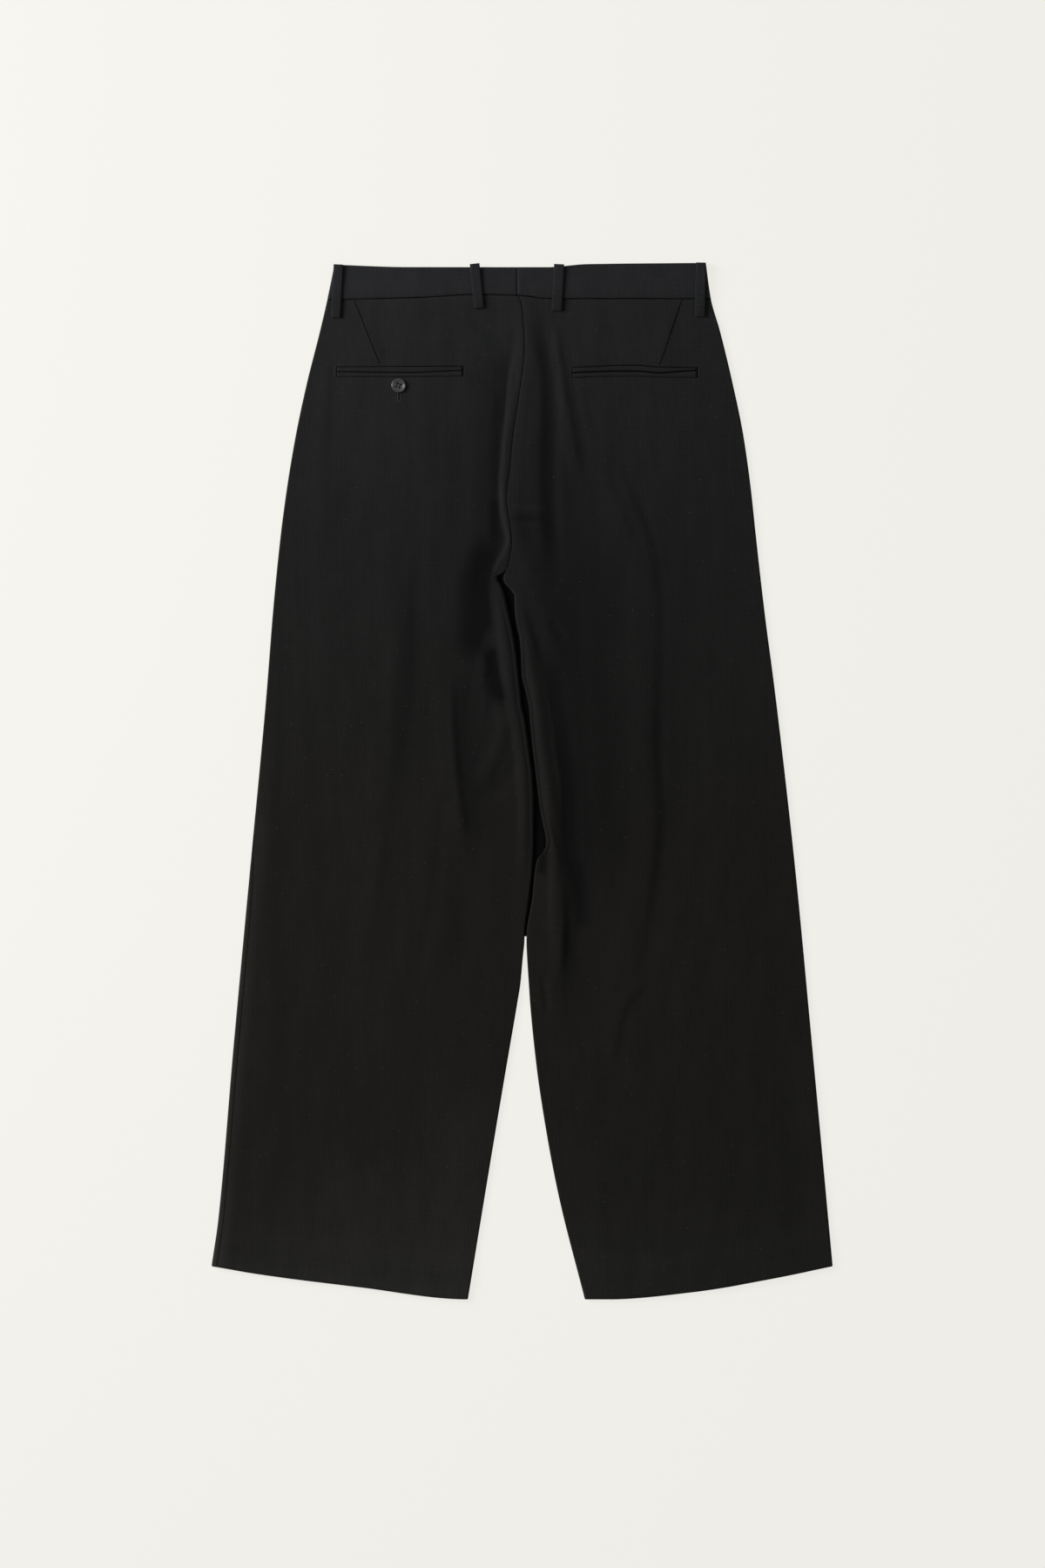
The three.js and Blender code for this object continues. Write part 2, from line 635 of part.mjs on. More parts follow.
const button = piece('pocket_button', buttonShape(), horn);
const buttonSeat = highestUnder(backs.left, { ...BUTTON, reachX: BUTTON.radius, reachY: BUTTON.radius });
button.position.set(BUTTON.x, BUTTON.y, buttonSeat + SEAM_GAP);
group.add(button);

export default group;
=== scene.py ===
# %% [markdown]
# # Pleated wide-leg trousers, laid flat with the back up
# The trousers lie on a pale table and are seen from straight above. The fixed model already has every
# piece of cloth as a plain wall of the right size. Here each wall gets the finer form and the finish of
# the real cloth. All tables are in millimetres, and every mesh is made in metres.

# %% Load the fixed model
import math

import bpy
import numpy as np
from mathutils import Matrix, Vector


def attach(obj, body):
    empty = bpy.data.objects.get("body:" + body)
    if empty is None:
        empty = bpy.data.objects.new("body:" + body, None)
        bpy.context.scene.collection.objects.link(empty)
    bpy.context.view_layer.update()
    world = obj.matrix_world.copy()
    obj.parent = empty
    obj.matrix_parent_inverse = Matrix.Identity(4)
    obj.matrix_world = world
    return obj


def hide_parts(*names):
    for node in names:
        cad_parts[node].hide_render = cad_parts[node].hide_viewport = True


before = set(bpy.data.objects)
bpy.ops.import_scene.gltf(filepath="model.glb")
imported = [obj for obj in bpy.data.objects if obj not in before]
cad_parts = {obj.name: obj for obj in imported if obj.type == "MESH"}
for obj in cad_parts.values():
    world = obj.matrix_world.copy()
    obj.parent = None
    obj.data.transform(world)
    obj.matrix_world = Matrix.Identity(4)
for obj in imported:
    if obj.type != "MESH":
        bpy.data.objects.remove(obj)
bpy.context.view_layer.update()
MM = 0.001

# %% [markdown]
# ## Camera
# The photograph looks straight down from far away, so its edges show no perspective. A long lens on a high
# camera does the same. The frame is 1200 by 1800 pixels and a pixel of the cloth is 0.89 mm, worked out
# from the button, the pocket mouths and the belt loops.

# %% Straight-down camera
PIXEL = 0.89
FRAME_HIGH = 1800 * PIXEL * MM
CAMERA_HEIGHT = 6.0
SENSOR = 36.0
FRAME_MIDDLE = (0.4 * MM, -3.1 * MM)

camera_data = bpy.data.cameras.new("camera")
camera_data.sensor_fit = "VERTICAL"
camera_data.sensor_height = SENSOR
camera_data.lens = SENSOR * CAMERA_HEIGHT / FRAME_HIGH
camera = bpy.data.objects.new("camera", camera_data)
camera.location = (*FRAME_MIDDLE, CAMERA_HEIGHT)
bpy.context.scene.collection.objects.link(camera)
bpy.context.scene.camera = camera
print("lens:", round(camera_data.lens, 1), "mm")

# %% [markdown]
# ## Curves and small tools
# A pattern maker draws an outline with few points and a curved ruler. `curve_through` is that ruler: it
# joins the rows of a table with a smooth curve that never swings past them. `table` gives the numbers of
# each row the names in its heading.

# %% Curves through a table
def smooth_step(share):
    s = np.clip(share, 0.0, 1.0)
    return s * s * (3 - 2 * s)


def mix(a, b, share):
    return a + (b - a) * share


def table(heading, rows):
    return [dict(zip(heading.split(), row)) for row in rows]


def curve_through(rows, along, value):
    rows = sorted(rows, key=lambda row: row[along])
    at = np.array([row[along] for row in rows], float)
    out = np.array([row[value] for row in rows], float)
    chord = np.diff(out) / np.diff(at)
    product = chord[:-1] * chord[1:]
    total = np.where(product > 0, chord[:-1] + chord[1:], 1.0)
    slope = np.concatenate([chord[:1], np.where(product > 0, 2 * product / total, 0.0), chord[-1:]])

    def read(asked):
        t = np.clip(asked, at[0], at[-1])
        i = np.clip(np.searchsorted(at, t, side="right") - 1, 0, len(at) - 2)
        width = at[i + 1] - at[i]
        s = (t - at[i]) / width
        bend = slope[i] * (1 - s) ** 2 * s - slope[i + 1] * s**2 * (1 - s)
        return mix(out[i], out[i + 1], smooth_step(s)) + width * bend

    return read


# %% [markdown]
# ## The cut of the trousers
# The tables say where the edges, seams and hems lie. The outer edges, waist and hems are within two
# millimetres of the fixed model. Along the gap between the legs the real edges roll and wander. There the
# left one is up to three millimetres off the fixed model, and the right one up to eleven, where the gap is
# widest. `y` runs from the hems up to the waist.

# %% Outline tables
LENGTH = 1058.2
HEM_SPREAD = 634.6
BOTTOM = -LENGTH / 2
HEM_DEPTH = 38
CROTCH = dict(x=-16.5, y=213.2)
FORK = -156.0
BAND_SEAM_X = -4.9

OUTER_EDGES = table("at y left right", [
    ("top of waistband", 531, -191, 187.5),
    ("waist seam", 492, -199, 193),
    ("below loops", 460, -206.4, 202.1),
    ("pockets", 406, -220, 215.2),
    ("upper hip", 353, -231.3, 226.1),
    ("hip", 300, -240.2, 233.6),
    ("seat", 246, -247.3, 239.4),
    ("thigh", 175, -254.4, 247.5),
    ("mid thigh", 86, -261.5, 259.1),
    ("above knee", -92, -278.2, 279.4),
    ("calf", -270, -294.8, 296.4),
    ("above hem", -448, -310.5, 313),
    ("hem", -495, -HEM_SPREAD / 2, HEM_SPREAD / 2),
])
INNER_EDGES = table("at y left right", [
    ("crotch", CROTCH["y"], CROTCH["x"], CROTCH["x"]),
    ("top of the gap", 210.6, -25.0, -18.8),
    ("rounded top", 206.5, -25.6, -19.2),
    ("tip of the tongue", 201.6, -22.6, -17.2),
    ("under the tongue", 195.4, -19.8, -11.0),
    ("upper gap", 189, -17.8, -8.0),
    ("below crotch", 175, -14.7, -7.6),
    ("upper roll", 159, -11.1, -5.6),
    ("bend of the roll", 146, -8.5, -2.6),
    ("upper thigh", 128, -5.9, -1.2),
    ("narrow", 107, -3.8, -0.2),
    ("thigh", 92, -1.9, 3.4),
    ("wider", 77, -0.4, 6.6),
    ("mid thigh", 62, 2.9, 8.0),
    ("narrow again", 32, 7.1, 10.9),
    ("lower thigh", 3, 10.7, 14.4),
    ("opens", -27, 11.8, 18.0),
    ("wide", -42, 11.8, 20.8),
    ("widest", -62, 11.7, 24.4),
    ("end of the wide gap", -71, 11.5, 23.0),
    ("closed again", -80, 11.0, 15.6),
    ("knee", -92, 10.2, 13.0),
    ("below knee", -119, 7.1, 10.5),
    ("fork", FORK, 2.6, 4.6),
    ("under the fork", -165, 2.4, 4.4),
    ("just below", -178, 1.0, 4.9),
    ("below fork", -208, -1.8, 6.8),
    ("upper calf", -226, -4.7, 8),
    ("calf", -292, -16.0, 14.7),
    ("shin", -359, -27.3, 24.8),
    ("ankle", -426, -38.4, 37.8),
    ("hem", BOTTOM, -55.3, 64.0),
])
CENTRE_BACK = table("y x", [
    (497, -3.5),
    (478, 0.5),
    (442, 2.2),
    (396, -3),
    (355, -9.3),
    (317, -12.9),
    (289, -16.2),
    (264, -12.9),
    (246, -10.8),
    (232, -12.2),
    (220, -14.4),
]) + [CROTCH]
CENTRE_FRONT = [dict(y=497, x=BAND_SEAM_X), dict(y=350, x=-8), CROTCH]

# %% Lines across the garment
WAIST_TOP = table("x y", [
    (-192, 527.2),
    (-117, 524.7),
    (25, 524.6),
    (68, 527.8),
    (188, 529),
])
WAIST_SEAM = table("x y", [
    (-199, 491.5),
    (-105, 494),
    (-45, 497),
    (-5, 496),
    (30, 492.7),
    (193, 492.7),
])
HEM_LINE = table("x y", [
    (-HEM_SPREAD / 2, -495.3),
    (-263, -504.4),
    (-167, -516.6),
    (-55.6, BOTTOM),
    (89, BOTTOM),
    (175, -521.7),
    (260, -507.2),
    (HEM_SPREAD / 2, -495.3),
])
SIDE_SEAM_UNDER = 0.35
LEFT_SIDE_SEAM = table("y arc", [
    (500, -SIDE_SEAM_UNDER),
    (0, -SIDE_SEAM_UNDER),
    (-145, 5.4),
    (BOTTOM, 5.8),
])

outer_edge = {side: curve_through(OUTER_EDGES, "y", side) for side in ("left", "right")}
inner_edge = {side: curve_through(INNER_EDGES, "y", side) for side in ("left", "right")}
centre_back = curve_through(CENTRE_BACK, "y", "x")
centre_front = curve_through(CENTRE_FRONT, "y", "x")
waist_top = curve_through(WAIST_TOP, "x", "y")
waist_seam = curve_through(WAIST_SEAM, "x", "y")
hem_line = curve_through(HEM_LINE, "x", "y")
left_side_seam = curve_through(LEFT_SIDE_SEAM, "y", "arc")
print("hip width:", outer_edge["right"](300) - outer_edge["left"](300), "mm")

# %% [markdown]
# ## Folds
# Laid-out trousers are never quite flat. The seat has more cloth than a flat shape needs, so it stands up
# in ridges beside the seat seam, with deep hollows between them, and the inner edges of the legs roll
# up where they press against each other. Each fold is a row: a path from its upper end, how far the
# cloth rises or sinks at its middle, and how far it reaches to the left and right. A fold with one short
# side is steep there, as a real one is.

# %% Main folds
FOLDS = table("name rise left right path", [
    ("fullness of the seat", 1.6, 60, 95, [(-10, 420), (-12, 300), (-14, 120)]),
    ("ridge beside the seat seam", 2.1, 8.5, 20,
     [(-1, 435), (-5.5, 406), (-10.5, 372), (-15.5, 335), (-17, 300), (-16.5, 280), (-13.5, 262),
      (-10.5, 247), (-13, 235), (-19, 222)]),
    ("hollow left of the seam", -2.3, 30, 4.8,
     [(-5, 462), (-10, 436), (-16, 406), (-18.5, 372), (-22.2, 335), (-24.5, 300), (-24, 278), (-21, 262),
      (-17.5, 247), (-21, 235), (-29, 221), (-34, 205), (-34.5, 184), (-32.5, 157), (-31, 138)]),
    ("hollow beside the left roll", -2.0, 13, 3.5,
     [(-29, 138), (-26, 118), (-23.5, 102), (-20, 88), (-17, 76)]),
    ("seat ridge on the right", 1.5, 14, 22,
     [(2, 490), (3, 455), (4, 420), (6, 392), (4, 360), (2, 335), (1, 300), (0, 262)]),
    ("deep hollow right of it", -2.1, 13, 13,
     [(17, 474), (24, 445), (29, 420), (30, 390), (30, 366), (29, 345), (28, 308), (29, 270), (31, 240),
      (32, 215)]),
    ("second ridge on the right", 1.2, 12, 6.5,
     [(34, 470), (37, 430), (40, 406), (47, 371), (53, 335), (59, 300)]),
    ("long fold of the right leg", 2.0, 34, 12,
     [(56, 370), (82, 337), (104, 292), (124, 245), (133, 175), (131, 95), (130, 40), (134, -40),
      (127, -100), (119, -160), (113, -208)]),
    ("left inseam roll", 2.1, 9, 10,
     [(-26, 214), (-26.5, 200), (-23.5, 184), (-19.5, 157), (-15.7, 130), (-13, 105), (-9, 77), (-4, 50),
      (0, 20), (3, -20), (2, -60), (0, -110)]),
    ("right inseam roll", 2.5, 9, 11,
     [(-10, 206), (-5, 184), (-1.5, 166), (4.5, 143), (8.5, 118), (13.3, 92), (17.6, 62), (21.2, 32),
      (25.2, 3), (29, -27), (32, -60), (34, -85), (34, -134), (36, -208)]),
    ("hollow beside the right roll", -1.8, 9, 18,
     [(8, 190), (12, 166), (20, 140), (28, 110), (34, 85), (38, 62), (42, 32), (47, -3), (47, -39),
      (50, -74), (53, -110), (51, -146), (45, -199), (44, -226)]),
    ("soft crease of the left leg", 1.1, 22, 9, [(-75, 120), (-72, 45), (-67, -10), (-60, -75)]),
    ("middle of the left leg", 0.7, 34, 18, [(-134, 190), (-136, 0), (-150, -190)]),
])

# %% Small creases that only the fine cloth has
CREASES = table("name rise left right path", [
    ("pull from the left back loop", -0.9, 11, 9, [(-51, 470), (-31, 455), (-11, 442)]),
    ("pull under the left pocket", -0.8, 12, 10, [(-50, 418), (-30, 404), (-18, 392), (-22, 362)]),
    ("stay of the seat seam", 0.5, 6, 5, [(-12, 281), (4, 280), (20, 279)]),
    ("under the stay", -0.5, 7, 6, [(-6, 268), (4, 267), (16, 268)]),
    ("right of the second ridge", -1.0, 7, 9, [(48, 445), (51, 408), (57, 371), (64, 335), (69, 305)]),
    ("smile below the left roll", 1.3, 11, 12, [(-12, 70), (-18, 55), (-24.5, 35), (-31, 17), (-46, -2)]),
    ("under the smile", -0.9, 12, 10, [(-50, -9), (-36, -12), (-24, -8), (-13, 4), (-8, 18), (-7, 32)]),
    ("above the smile", -1.0, 9, 7, [(-33, 115), (-31, 88), (-30, 60)]),
    ("left crease's sharp edge", 0.7, 9, 4, [(-71, 94), (-69, 43), (-65, -2), (-58, -43), (-56, -70)]),
    ("pocket's weight, left", 0.6, 14, 10,
     [(-200, 440), (-201, 405), (-203, 360), (-204, 300), (-203, 240)]),
    ("rolled side seam", 0.6, 20, 20, [(-250, -150), (-254, -300), (-262, -450)]),
    ("nick beside the right roll", -1.4, 8, 9, [(28, 164), (36, 153), (45, 144)]),
    ("strip on the right roll", 1.0, 6, 5, [(23, -26), (30, -58), (39, -88)]),
    ("end of the right roll", 1.0, 7, 4, [(41, -98), (42, -140), (41, -200)]),
    ("hollow at the knee", -0.8, 6, 8, [(45, 12), (47, -36), (48, -62)]),
    ("spot at the knee", -0.9, 7, 8, [(50, -92), (54, -108), (58, -124)]),
    ("second crease of the right leg", 0.9, 14, 6, [(132, -200), (108, -224), (97, -255), (92, -290)]),
    ("trough left of the long fold", -0.6, 9, 7, [(88, 335), (98, 300), (111, 266), (119, 235)]),
    ("long crease of the left leg", -0.55, 7, 14,
     [(-126, 120), (-129, 15), (-137, -74), (-147, -140), (-156, -200)]),
    ("inner crease of the left leg", -0.45, 6, 12, [(-78, 10), (-86, -74), (-96, -140), (-106, -200)]),
    ("outer crease of the left leg", -0.4, 6, 16, [(-238, 160), (-242, 100), (-246, 20), (-252, -60)]),
    ("edge at the end of the roll", -0.9, 5, 7, [(20, -196), (23, -216), (27, -240)]),
    ("short crease of the right leg", 0.5, 6, 5, [(54, -264), (58, -278), (62, -292)]),
    ("left dart", 0.45, 1.6, 14, [(-171, 491), (-159, 459), (-145, 426)]),
    ("right dart", 0.45, 14, 1.6, [(163, 491), (153, 463), (140, 426)]),
])
print("folds:", len(FOLDS), "creases:", len(CREASES))

# %% [markdown]
# ## Painted light and shade over wide areas
# The folds alone don't give the whole look, so light and shade are also painted into the cloth's colour.
# Where much cloth leans away from the light, and between the legs, a wide area is painted darker; some
# ridges and edges are painted lighter, and the hems are made paler. These rows are made as the folds
# are, but `rise` is a share of the cloth's colour.

# %% Painted light and shade over wide areas
PAINTED_SHADING = table("name rise left right path", [
    ("slope left of the seat seam", -0.20, 90, 4,
     [(-22, 436), (-27, 406), (-26, 372), (-27, 335), (-28, 300), (-27, 278), (-25, 262), (-22, 247),
      (-31, 221), (-35, 205), (-36, 184), (-44, 140), (-56, 90), (-60, 40), (-60, -20)]),
    ("foot of the ridge", -0.46, 18, 3.5,
     [(-8, 465), (-13.5, 440), (-18, 405), (-20, 370), (-23, 335), (-25, 300), (-24, 278), (-21.5, 262),
      (-18.5, 247), (-22, 235), (-27, 226)]),
    ("top of the ridge", -0.24, 7, 7,
     [(-8, 440), (-11, 420), (-14, 395), (-15.5, 370), (-18, 335), (-18.5, 300), (-17, 275)]),
    ("deepest part of that slope", -0.78, 30, 17,
     [(-28, 256), (-34, 233), (-40, 212), (-43, 190), (-44, 165), (-46, 150), (-52, 134), (-62, 118)]),
    ("foot of the left roll", -0.55, 12, 8, [(-31, 218), (-34, 206), (-34, 184), (-32, 162), (-31, 146)]),
    ("beside the left roll", -1.05, 17, 8, [(-31, 142), (-28, 120), (-25, 102), (-21, 88), (-18, 74)]),
    ("dark fold above the crotch", -0.40, 9, 7, [(-28, 290), (-29, 265), (-28, 240)]),
    ("under the wide gap", -0.75, 8, 8, [(20, -62), (21.5, -79), (19, -98)]),
    ("right of the soft crease", -0.32, 5, 56,
     [(-70, 122), (-70, 70), (-67, 25), (-63, -20), (-58, -75)]),
    ("fold line of the left leg", -0.27, 16, 15,
     [(-115, 230), (-117, 160), (-117, 104), (-119, 68), (-121, 32), (-124, -3), (-131, -40)]),
    ("sharp middle of that line", -0.14, 9, 8,
     [(-105, 265), (-112, 200), (-113.5, 121), (-117, 68), (-126, 15), (-134, -39)]),
    ("lower end of that line", -0.12, 17, 13,
     [(-127, 10), (-134, -39), (-136, -92), (-138, -146), (-151, -205)]),
    ("right of that line", 0.09, 10, 18, [(-92, 170), (-90, 100), (-94, 20), (-100, -60), (-108, -160)]),
    ("second fold line of the left leg", -0.15, 12, 20,
     [(-62, 60), (-58, 0), (-58, -39), (-69, -92), (-70, -146), (-90, -199)]),
    ("right of the seat ridge", -0.42, 14, 11,
     [(13, 492), (21.5, 447), (27.5, 420), (29.5, 395), (30.5, 366), (29.5, 345), (29, 308), (30, 270),
      (32, 235), (35, 200)]),
    ("right of the second ridge", -0.14, 4, 15, [(50, 440), (52, 405), (58, 371), (65, 335), (70, 300)]),
    ("hollow of the right seat", -0.26, 34, 80,
     [(34, 420), (32, 330), (28, 260), (32, 200), (40, 140), (48, 60), (52, -40), (56, -160)]),
    ("right of the crotch", -0.25, 16, 36,
     [(4, 300), (6, 262), (12, 230), (22, 190), (33, 150), (36, 110), (40, 70)]),
    ("light on the stay", 0.22, 4, 4, [(-16, 280), (4, 279.5), (28, 279)]),
    ("dark under the stay", -0.26, 6, 6, [(-14, 269), (4, 268), (26, 268)]),
    ("left of the left pocket", -0.16, 6, 5,
     [(-194, 440), (-196, 415), (-197, 385), (-198, 350), (-200, 310)]),
    ("right edge of the gap", -0.32, 3, 3.2,
     [(-18, 206), (-8, 189), (-5.6, 159), (-1.2, 128), (3.4, 92), (8, 62), (14.4, 3), (20.8, -42),
      (24.4, -62), (16, -79), (10.5, -119)]),
    ("left edge of the gap", -0.25, 3, 3,
     [(-10, 150), (-5.9, 128), (-1.9, 92), (2.9, 62), (10.7, 3), (11.8, -42), (11, -80), (6, -130)]),
    ("left of the long fold", -0.12, 12, 8, [(88, 335), (98, 300), (112, 266), (120, 235)]),
    ("right leg above the knee", -0.24, 80, 70,
     [(90, 290), (98, 180), (104, 80), (106, -20), (100, -140)]),
    ("beside the right roll", -0.44, 10, 26,
     [(20, 140), (30, 105), (38, 68), (41, 32), (47, -3), (47, -39), (50, -74), (54, -110), (52, -146),
      (47, -199), (46, -250)]),
    ("dark spot at the knee", -0.42, 10, 13, [(52, -76), (57, -105), (60, -130), (60, -156)]),
    ("lower end beside the right roll", -0.19, 13, 16, [(47, -140), (43, -199), (40, -240), (38, -285)]),
    ("edge of the right roll", -0.20, 2.5, 20,
     [(-4, 215), (0.5, 184), (4, 166), (11, 143), (18.2, 118), (22.7, 92), (27, 62), (32, 32), (36.5, 3),
      (41.5, -27), (43, -60), (43, -110)]),
    ("line of the long fold", -0.20, 5, 11,
     [(138, 120), (137, 60), (137, 10), (140, -45), (135, -100), (127, -160), (120, -200)]),
    ("right of the long fold", -0.18, 6, 36, [(132, 285), (150, 220), (156, 140), (154, 60), (152, -10)]),
    ("inner hem of the left leg", 0.46, 80, 60, [(-46, -290), (-54, -370), (-62, -450), (-70, -620)]),
    ("turn of the left hem", 0.14, 18, 18,
     [(-350, -487), (-263, -503), (-167, -517), (-55, -530), (20, -532)]),
    ("hem of the left leg", 0.32, 120, 110, [(-150, -370), (-165, -440), (-180, -500), (-185, -560)]),
    ("middle of the left leg", 0.10, 70, 60, [(-150, 40), (-150, -60), (-150, -180), (-145, -300)]),
    ("left of the waist", 0.10, 90, 70,
     [(-140, 560), (-140, 500), (-150, 440), (-160, 360), (-170, 280)]),
    ("edge of the left leg", 1.1, 14, 19,
     [(-264, 60), (-278, -92), (-287, -180), (-297, -300), (-309, -420), (-317, -520), (-324, -640)]),
    ("inside that edge", -0.12, 14, 16,
     [(-243, 120), (-245, 0), (-250, -120), (-256, -220), (-262, -320), (-266, -400)]),
    ("outer side of the right leg", 0.10, 34, 16,
     [(232, 330), (246, 180), (262, 40), (276, -80), (290, -220), (304, -360), (316, -510)]),
    ("inner hem of the right leg", 0.16, 30, 50, [(26, -330), (40, -400), (52, -470), (62, -560)]),
    ("edge of the right hem", 0.16, 24, 14,
     [(274, -240), (288, -320), (298, -400), (307, -470), (314, -570)]),
])
PAINTED_SHADING_LIMITS = (0.12, 1.9)

# %% [markdown]
# The height of one fold falls off smoothly from its path to its reach, and towards both ends. The path is
# rounded first, so no corner shows in the cloth.

# %% Height of one fold
PATH_STEPS = 6
FADE = dict(steepness=4, at_the_end=0.1)


def rounded(path):
    p = np.array(path, float)
    p = np.vstack([2 * p[0] - p[1], p, 2 * p[-1] - p[-2]])
    points = []
    for a, b, c, d in zip(p, p[1:], p[2:], p[3:]):
        for s in np.arange(PATH_STEPS) / PATH_STEPS:
            points.append(0.5 * (2 * b + (c - a) * s + (2 * a - 5 * b + 4 * c - d) * s**2
                                 + (3 * b - a - 3 * c + d) * s**3))
    return np.array([*points, p[-2]])


def fold_height(fold, x, y):
    path = rounded(fold["path"])
    best = np.full(x.shape, np.inf)
    to_right = np.zeros(x.shape, bool)
    along = np.zeros(x.shape)
    walked = 0.0
    for (ax, ay), (bx, by) in zip(path, path[1:]):
        dx, dy = bx - ax, by - ay
        run = math.hypot(dx, dy)
        s = np.clip(((x - ax) * dx + (y - ay) * dy) / run**2, 0, 1)
        ox, oy = x - ax - dx * s, y - ay - dy * s
        distance = np.hypot(ox, oy)
        nearer = distance < best
        best = np.where(nearer, distance, best)
        to_right = np.where(nearer, dx * oy - dy * ox > 0, to_right)
        along = np.where(nearer, walked + run * s, along)
        walked += run
    reach = np.where(to_right, fold["right"], fold["left"])
    across = np.clip(1 - (best / reach) ** 2, 0, 1) ** 2
    to_end = np.minimum(along, walked - along) / walked
    ends = smooth_step(FADE["steepness"] * to_end + FADE["at_the_end"])
    return fold["rise"] * across * ends


def add_fold(height, fold, x, y):
    px, py = zip(*fold["path"])
    reach = max(fold["left"], fold["right"])
    near = (x > min(px) - reach) & (x < max(px) + reach) & (y > min(py) - reach) & (y < max(py) + reach)
    if near.any():
        height[near] += fold_height(fold, x[near], y[near])


# %% [markdown]
# Between the folds the cloth still undulates by a few tenths of a millimetre. A handful of long, slow
# waves with fixed directions does that. The seat seam pulls the cloth in, so it dips there and puckers.

# %% Height of the whole upper layer
CLOTH = 1.0
HEM_CLOTH = 1.8
SEAM_GAP = 0.3
LOFT = dict(edge=1.2, flat=1.8, reach=50, least=0.5)
WAVES = table("rise length turn start", [
    (0.16, 61, 8, 0.4),
    (0.12, 37, -14, 2.1),
    (0.10, 89, 35, 1.2),
    (0.07, 23, 3, 5.0),
    (0.10, 140, 80, 3.3),
])
PUCKER = dict(rise=0.22, length=9.0, reach=7.0, dip=0.45, dip_reach=1.6)


def waves(rows, x, y):
    height = np.zeros(np.broadcast(x, y).shape)
    for wave in rows:
        turn = math.radians(wave["turn"])
        way = x * math.cos(turn) + y * math.sin(turn)
        height += wave["rise"] * np.sin(2 * math.pi * way / wave["length"] + wave["start"])
    return height


def seat_seam_pull(x, y):
    away = np.abs(x - centre_back(y))
    pucker = PUCKER["rise"] * np.sin(2 * math.pi * y / PUCKER["length"]) * np.exp(-away / PUCKER["reach"])
    dip = -PUCKER["dip"] * np.exp(-((away / PUCKER["dip_reach"]) ** 2))
    return np.where(y > CROTCH["y"], pucker + dip, 0.0)


def loft(x, y):
    x, y = np.broadcast_arrays(np.atleast_1d(x), np.atleast_1d(y))
    above = y > CROTCH["y"]
    middle = np.where(above, centre_back(y), (inner_edge["left"](y) + inner_edge["right"](y)) / 2)
    is_left = x < middle
    to_outer = np.abs(x - np.where(is_left, outer_edge["left"](y), outer_edge["right"](y)))
    to_inner = np.abs(x - np.where(is_left, inner_edge["left"](y), inner_edge["right"](y)))
    to_edge = np.where(above, to_outer, np.minimum(to_outer, to_inner))
    inside = smooth_step(to_edge / LOFT["reach"])
    height = mix(LOFT["edge"], LOFT["flat"], inside) + waves(WAVES, x, y) * inside + seat_seam_pull(x, y)
    for fold in FOLDS + CREASES:
        add_fold(height, fold, x, y)
    return 0.5 * (height + np.hypot(height, LOFT["least"]))


def upper_middle(x, y, wall):
    return 1.5 * wall + SEAM_GAP + loft(x, y)


def top_of_back(x, y):
    return upper_middle(x, y, CLOTH) + CLOTH / 2


# painted light and shade: a share of the cloth's colour at each point
def painted_shading_at(x, y):
    painted_shading = np.ones(x.shape)
    for row in PAINTED_SHADING:
        add_fold(painted_shading, row, x, y)
    return np.clip(painted_shading, *PAINTED_SHADING_LIMITS)


print("height of the seat ridge:", top_of_back(-17.0, 335.0), "mm")

# %% [markdown]
# ## Cloth walls
# A piece of cloth starts as a grid of points on the middle of its thickness. `cloth_mesh` moves the grid
# out to both faces and closes the edges, so each piece is a solid sheet, and light falls on real edges.

# %% From a grid of points to a closed sheet
def grid_normals(grid):
    down = np.gradient(grid, axis=0)
    across = np.gradient(grid, axis=1)
    normal = np.cross(across, down)
    normal /= np.linalg.norm(normal, axis=2, keepdims=True)
    return normal


def closed_faces(rows, columns):
    index = np.arange(rows * columns).reshape(rows, columns)
    under = index + rows * columns

    def quads(a, b, c, d):
        return np.stack([a.ravel(), b.ravel(), c.ravel(), d.ravel()], axis=1)

    return np.vstack([
        quads(index[:-1, :-1], index[:-1, 1:], index[1:, 1:], index[1:, :-1]),
        quads(under[:-1, :-1], under[1:, :-1], under[1:, 1:], under[:-1, 1:]),
        quads(index[:-1, 0], index[1:, 0], under[1:, 0], under[:-1, 0]),
        quads(index[1:, -1], index[:-1, -1], under[:-1, -1], under[1:, -1]),
        quads(index[0, 1:], index[0, :-1], under[0, :-1], under[0, 1:]),
        quads(index[-1, :-1], index[-1, 1:], under[-1, 1:], under[-1, :-1]),
    ])


def new_piece(name, points, faces, material):
    mesh = bpy.data.meshes.new(name)
    mesh.from_pydata((np.asarray(points) * MM).tolist(), [], faces)
    mesh.validate()
    mesh.shade_smooth()
    mesh.materials.append(material)
    points = np.asarray(points)
    # each piece carries its painted light and shade as a point attribute
    painted_shading = mesh.attributes.new("painted_shading", "FLOAT", "POINT")
    painted_shading.data.foreach_set("value", painted_shading_at(points[:, 0], points[:, 1]).astype(np.float32))
    piece = bpy.data.objects.new(name, mesh)
    bpy.context.scene.collection.objects.link(piece)
    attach(piece, "root")
    return piece


def cloth_mesh(name, grid, wall, material):
    rows, columns = grid.shape[:2]
    out = grid_normals(grid) * np.broadcast_to(wall, (rows, columns))[..., None] / 2
    points = np.concatenate([(grid + out).reshape(-1, 3), (grid - out).reshape(-1, 3)])
    faces = closed_faces(rows, columns)
    centre = points.mean(axis=0)
    a, b, c = (points[faces[:, i]] - centre for i in range(3))
    inside_out = np.einsum("ij,ij->i", a, np.cross(b, c)).sum() < 0
    return new_piece(name, points, (faces[:, ::-1] if inside_out else faces).tolist(), material)


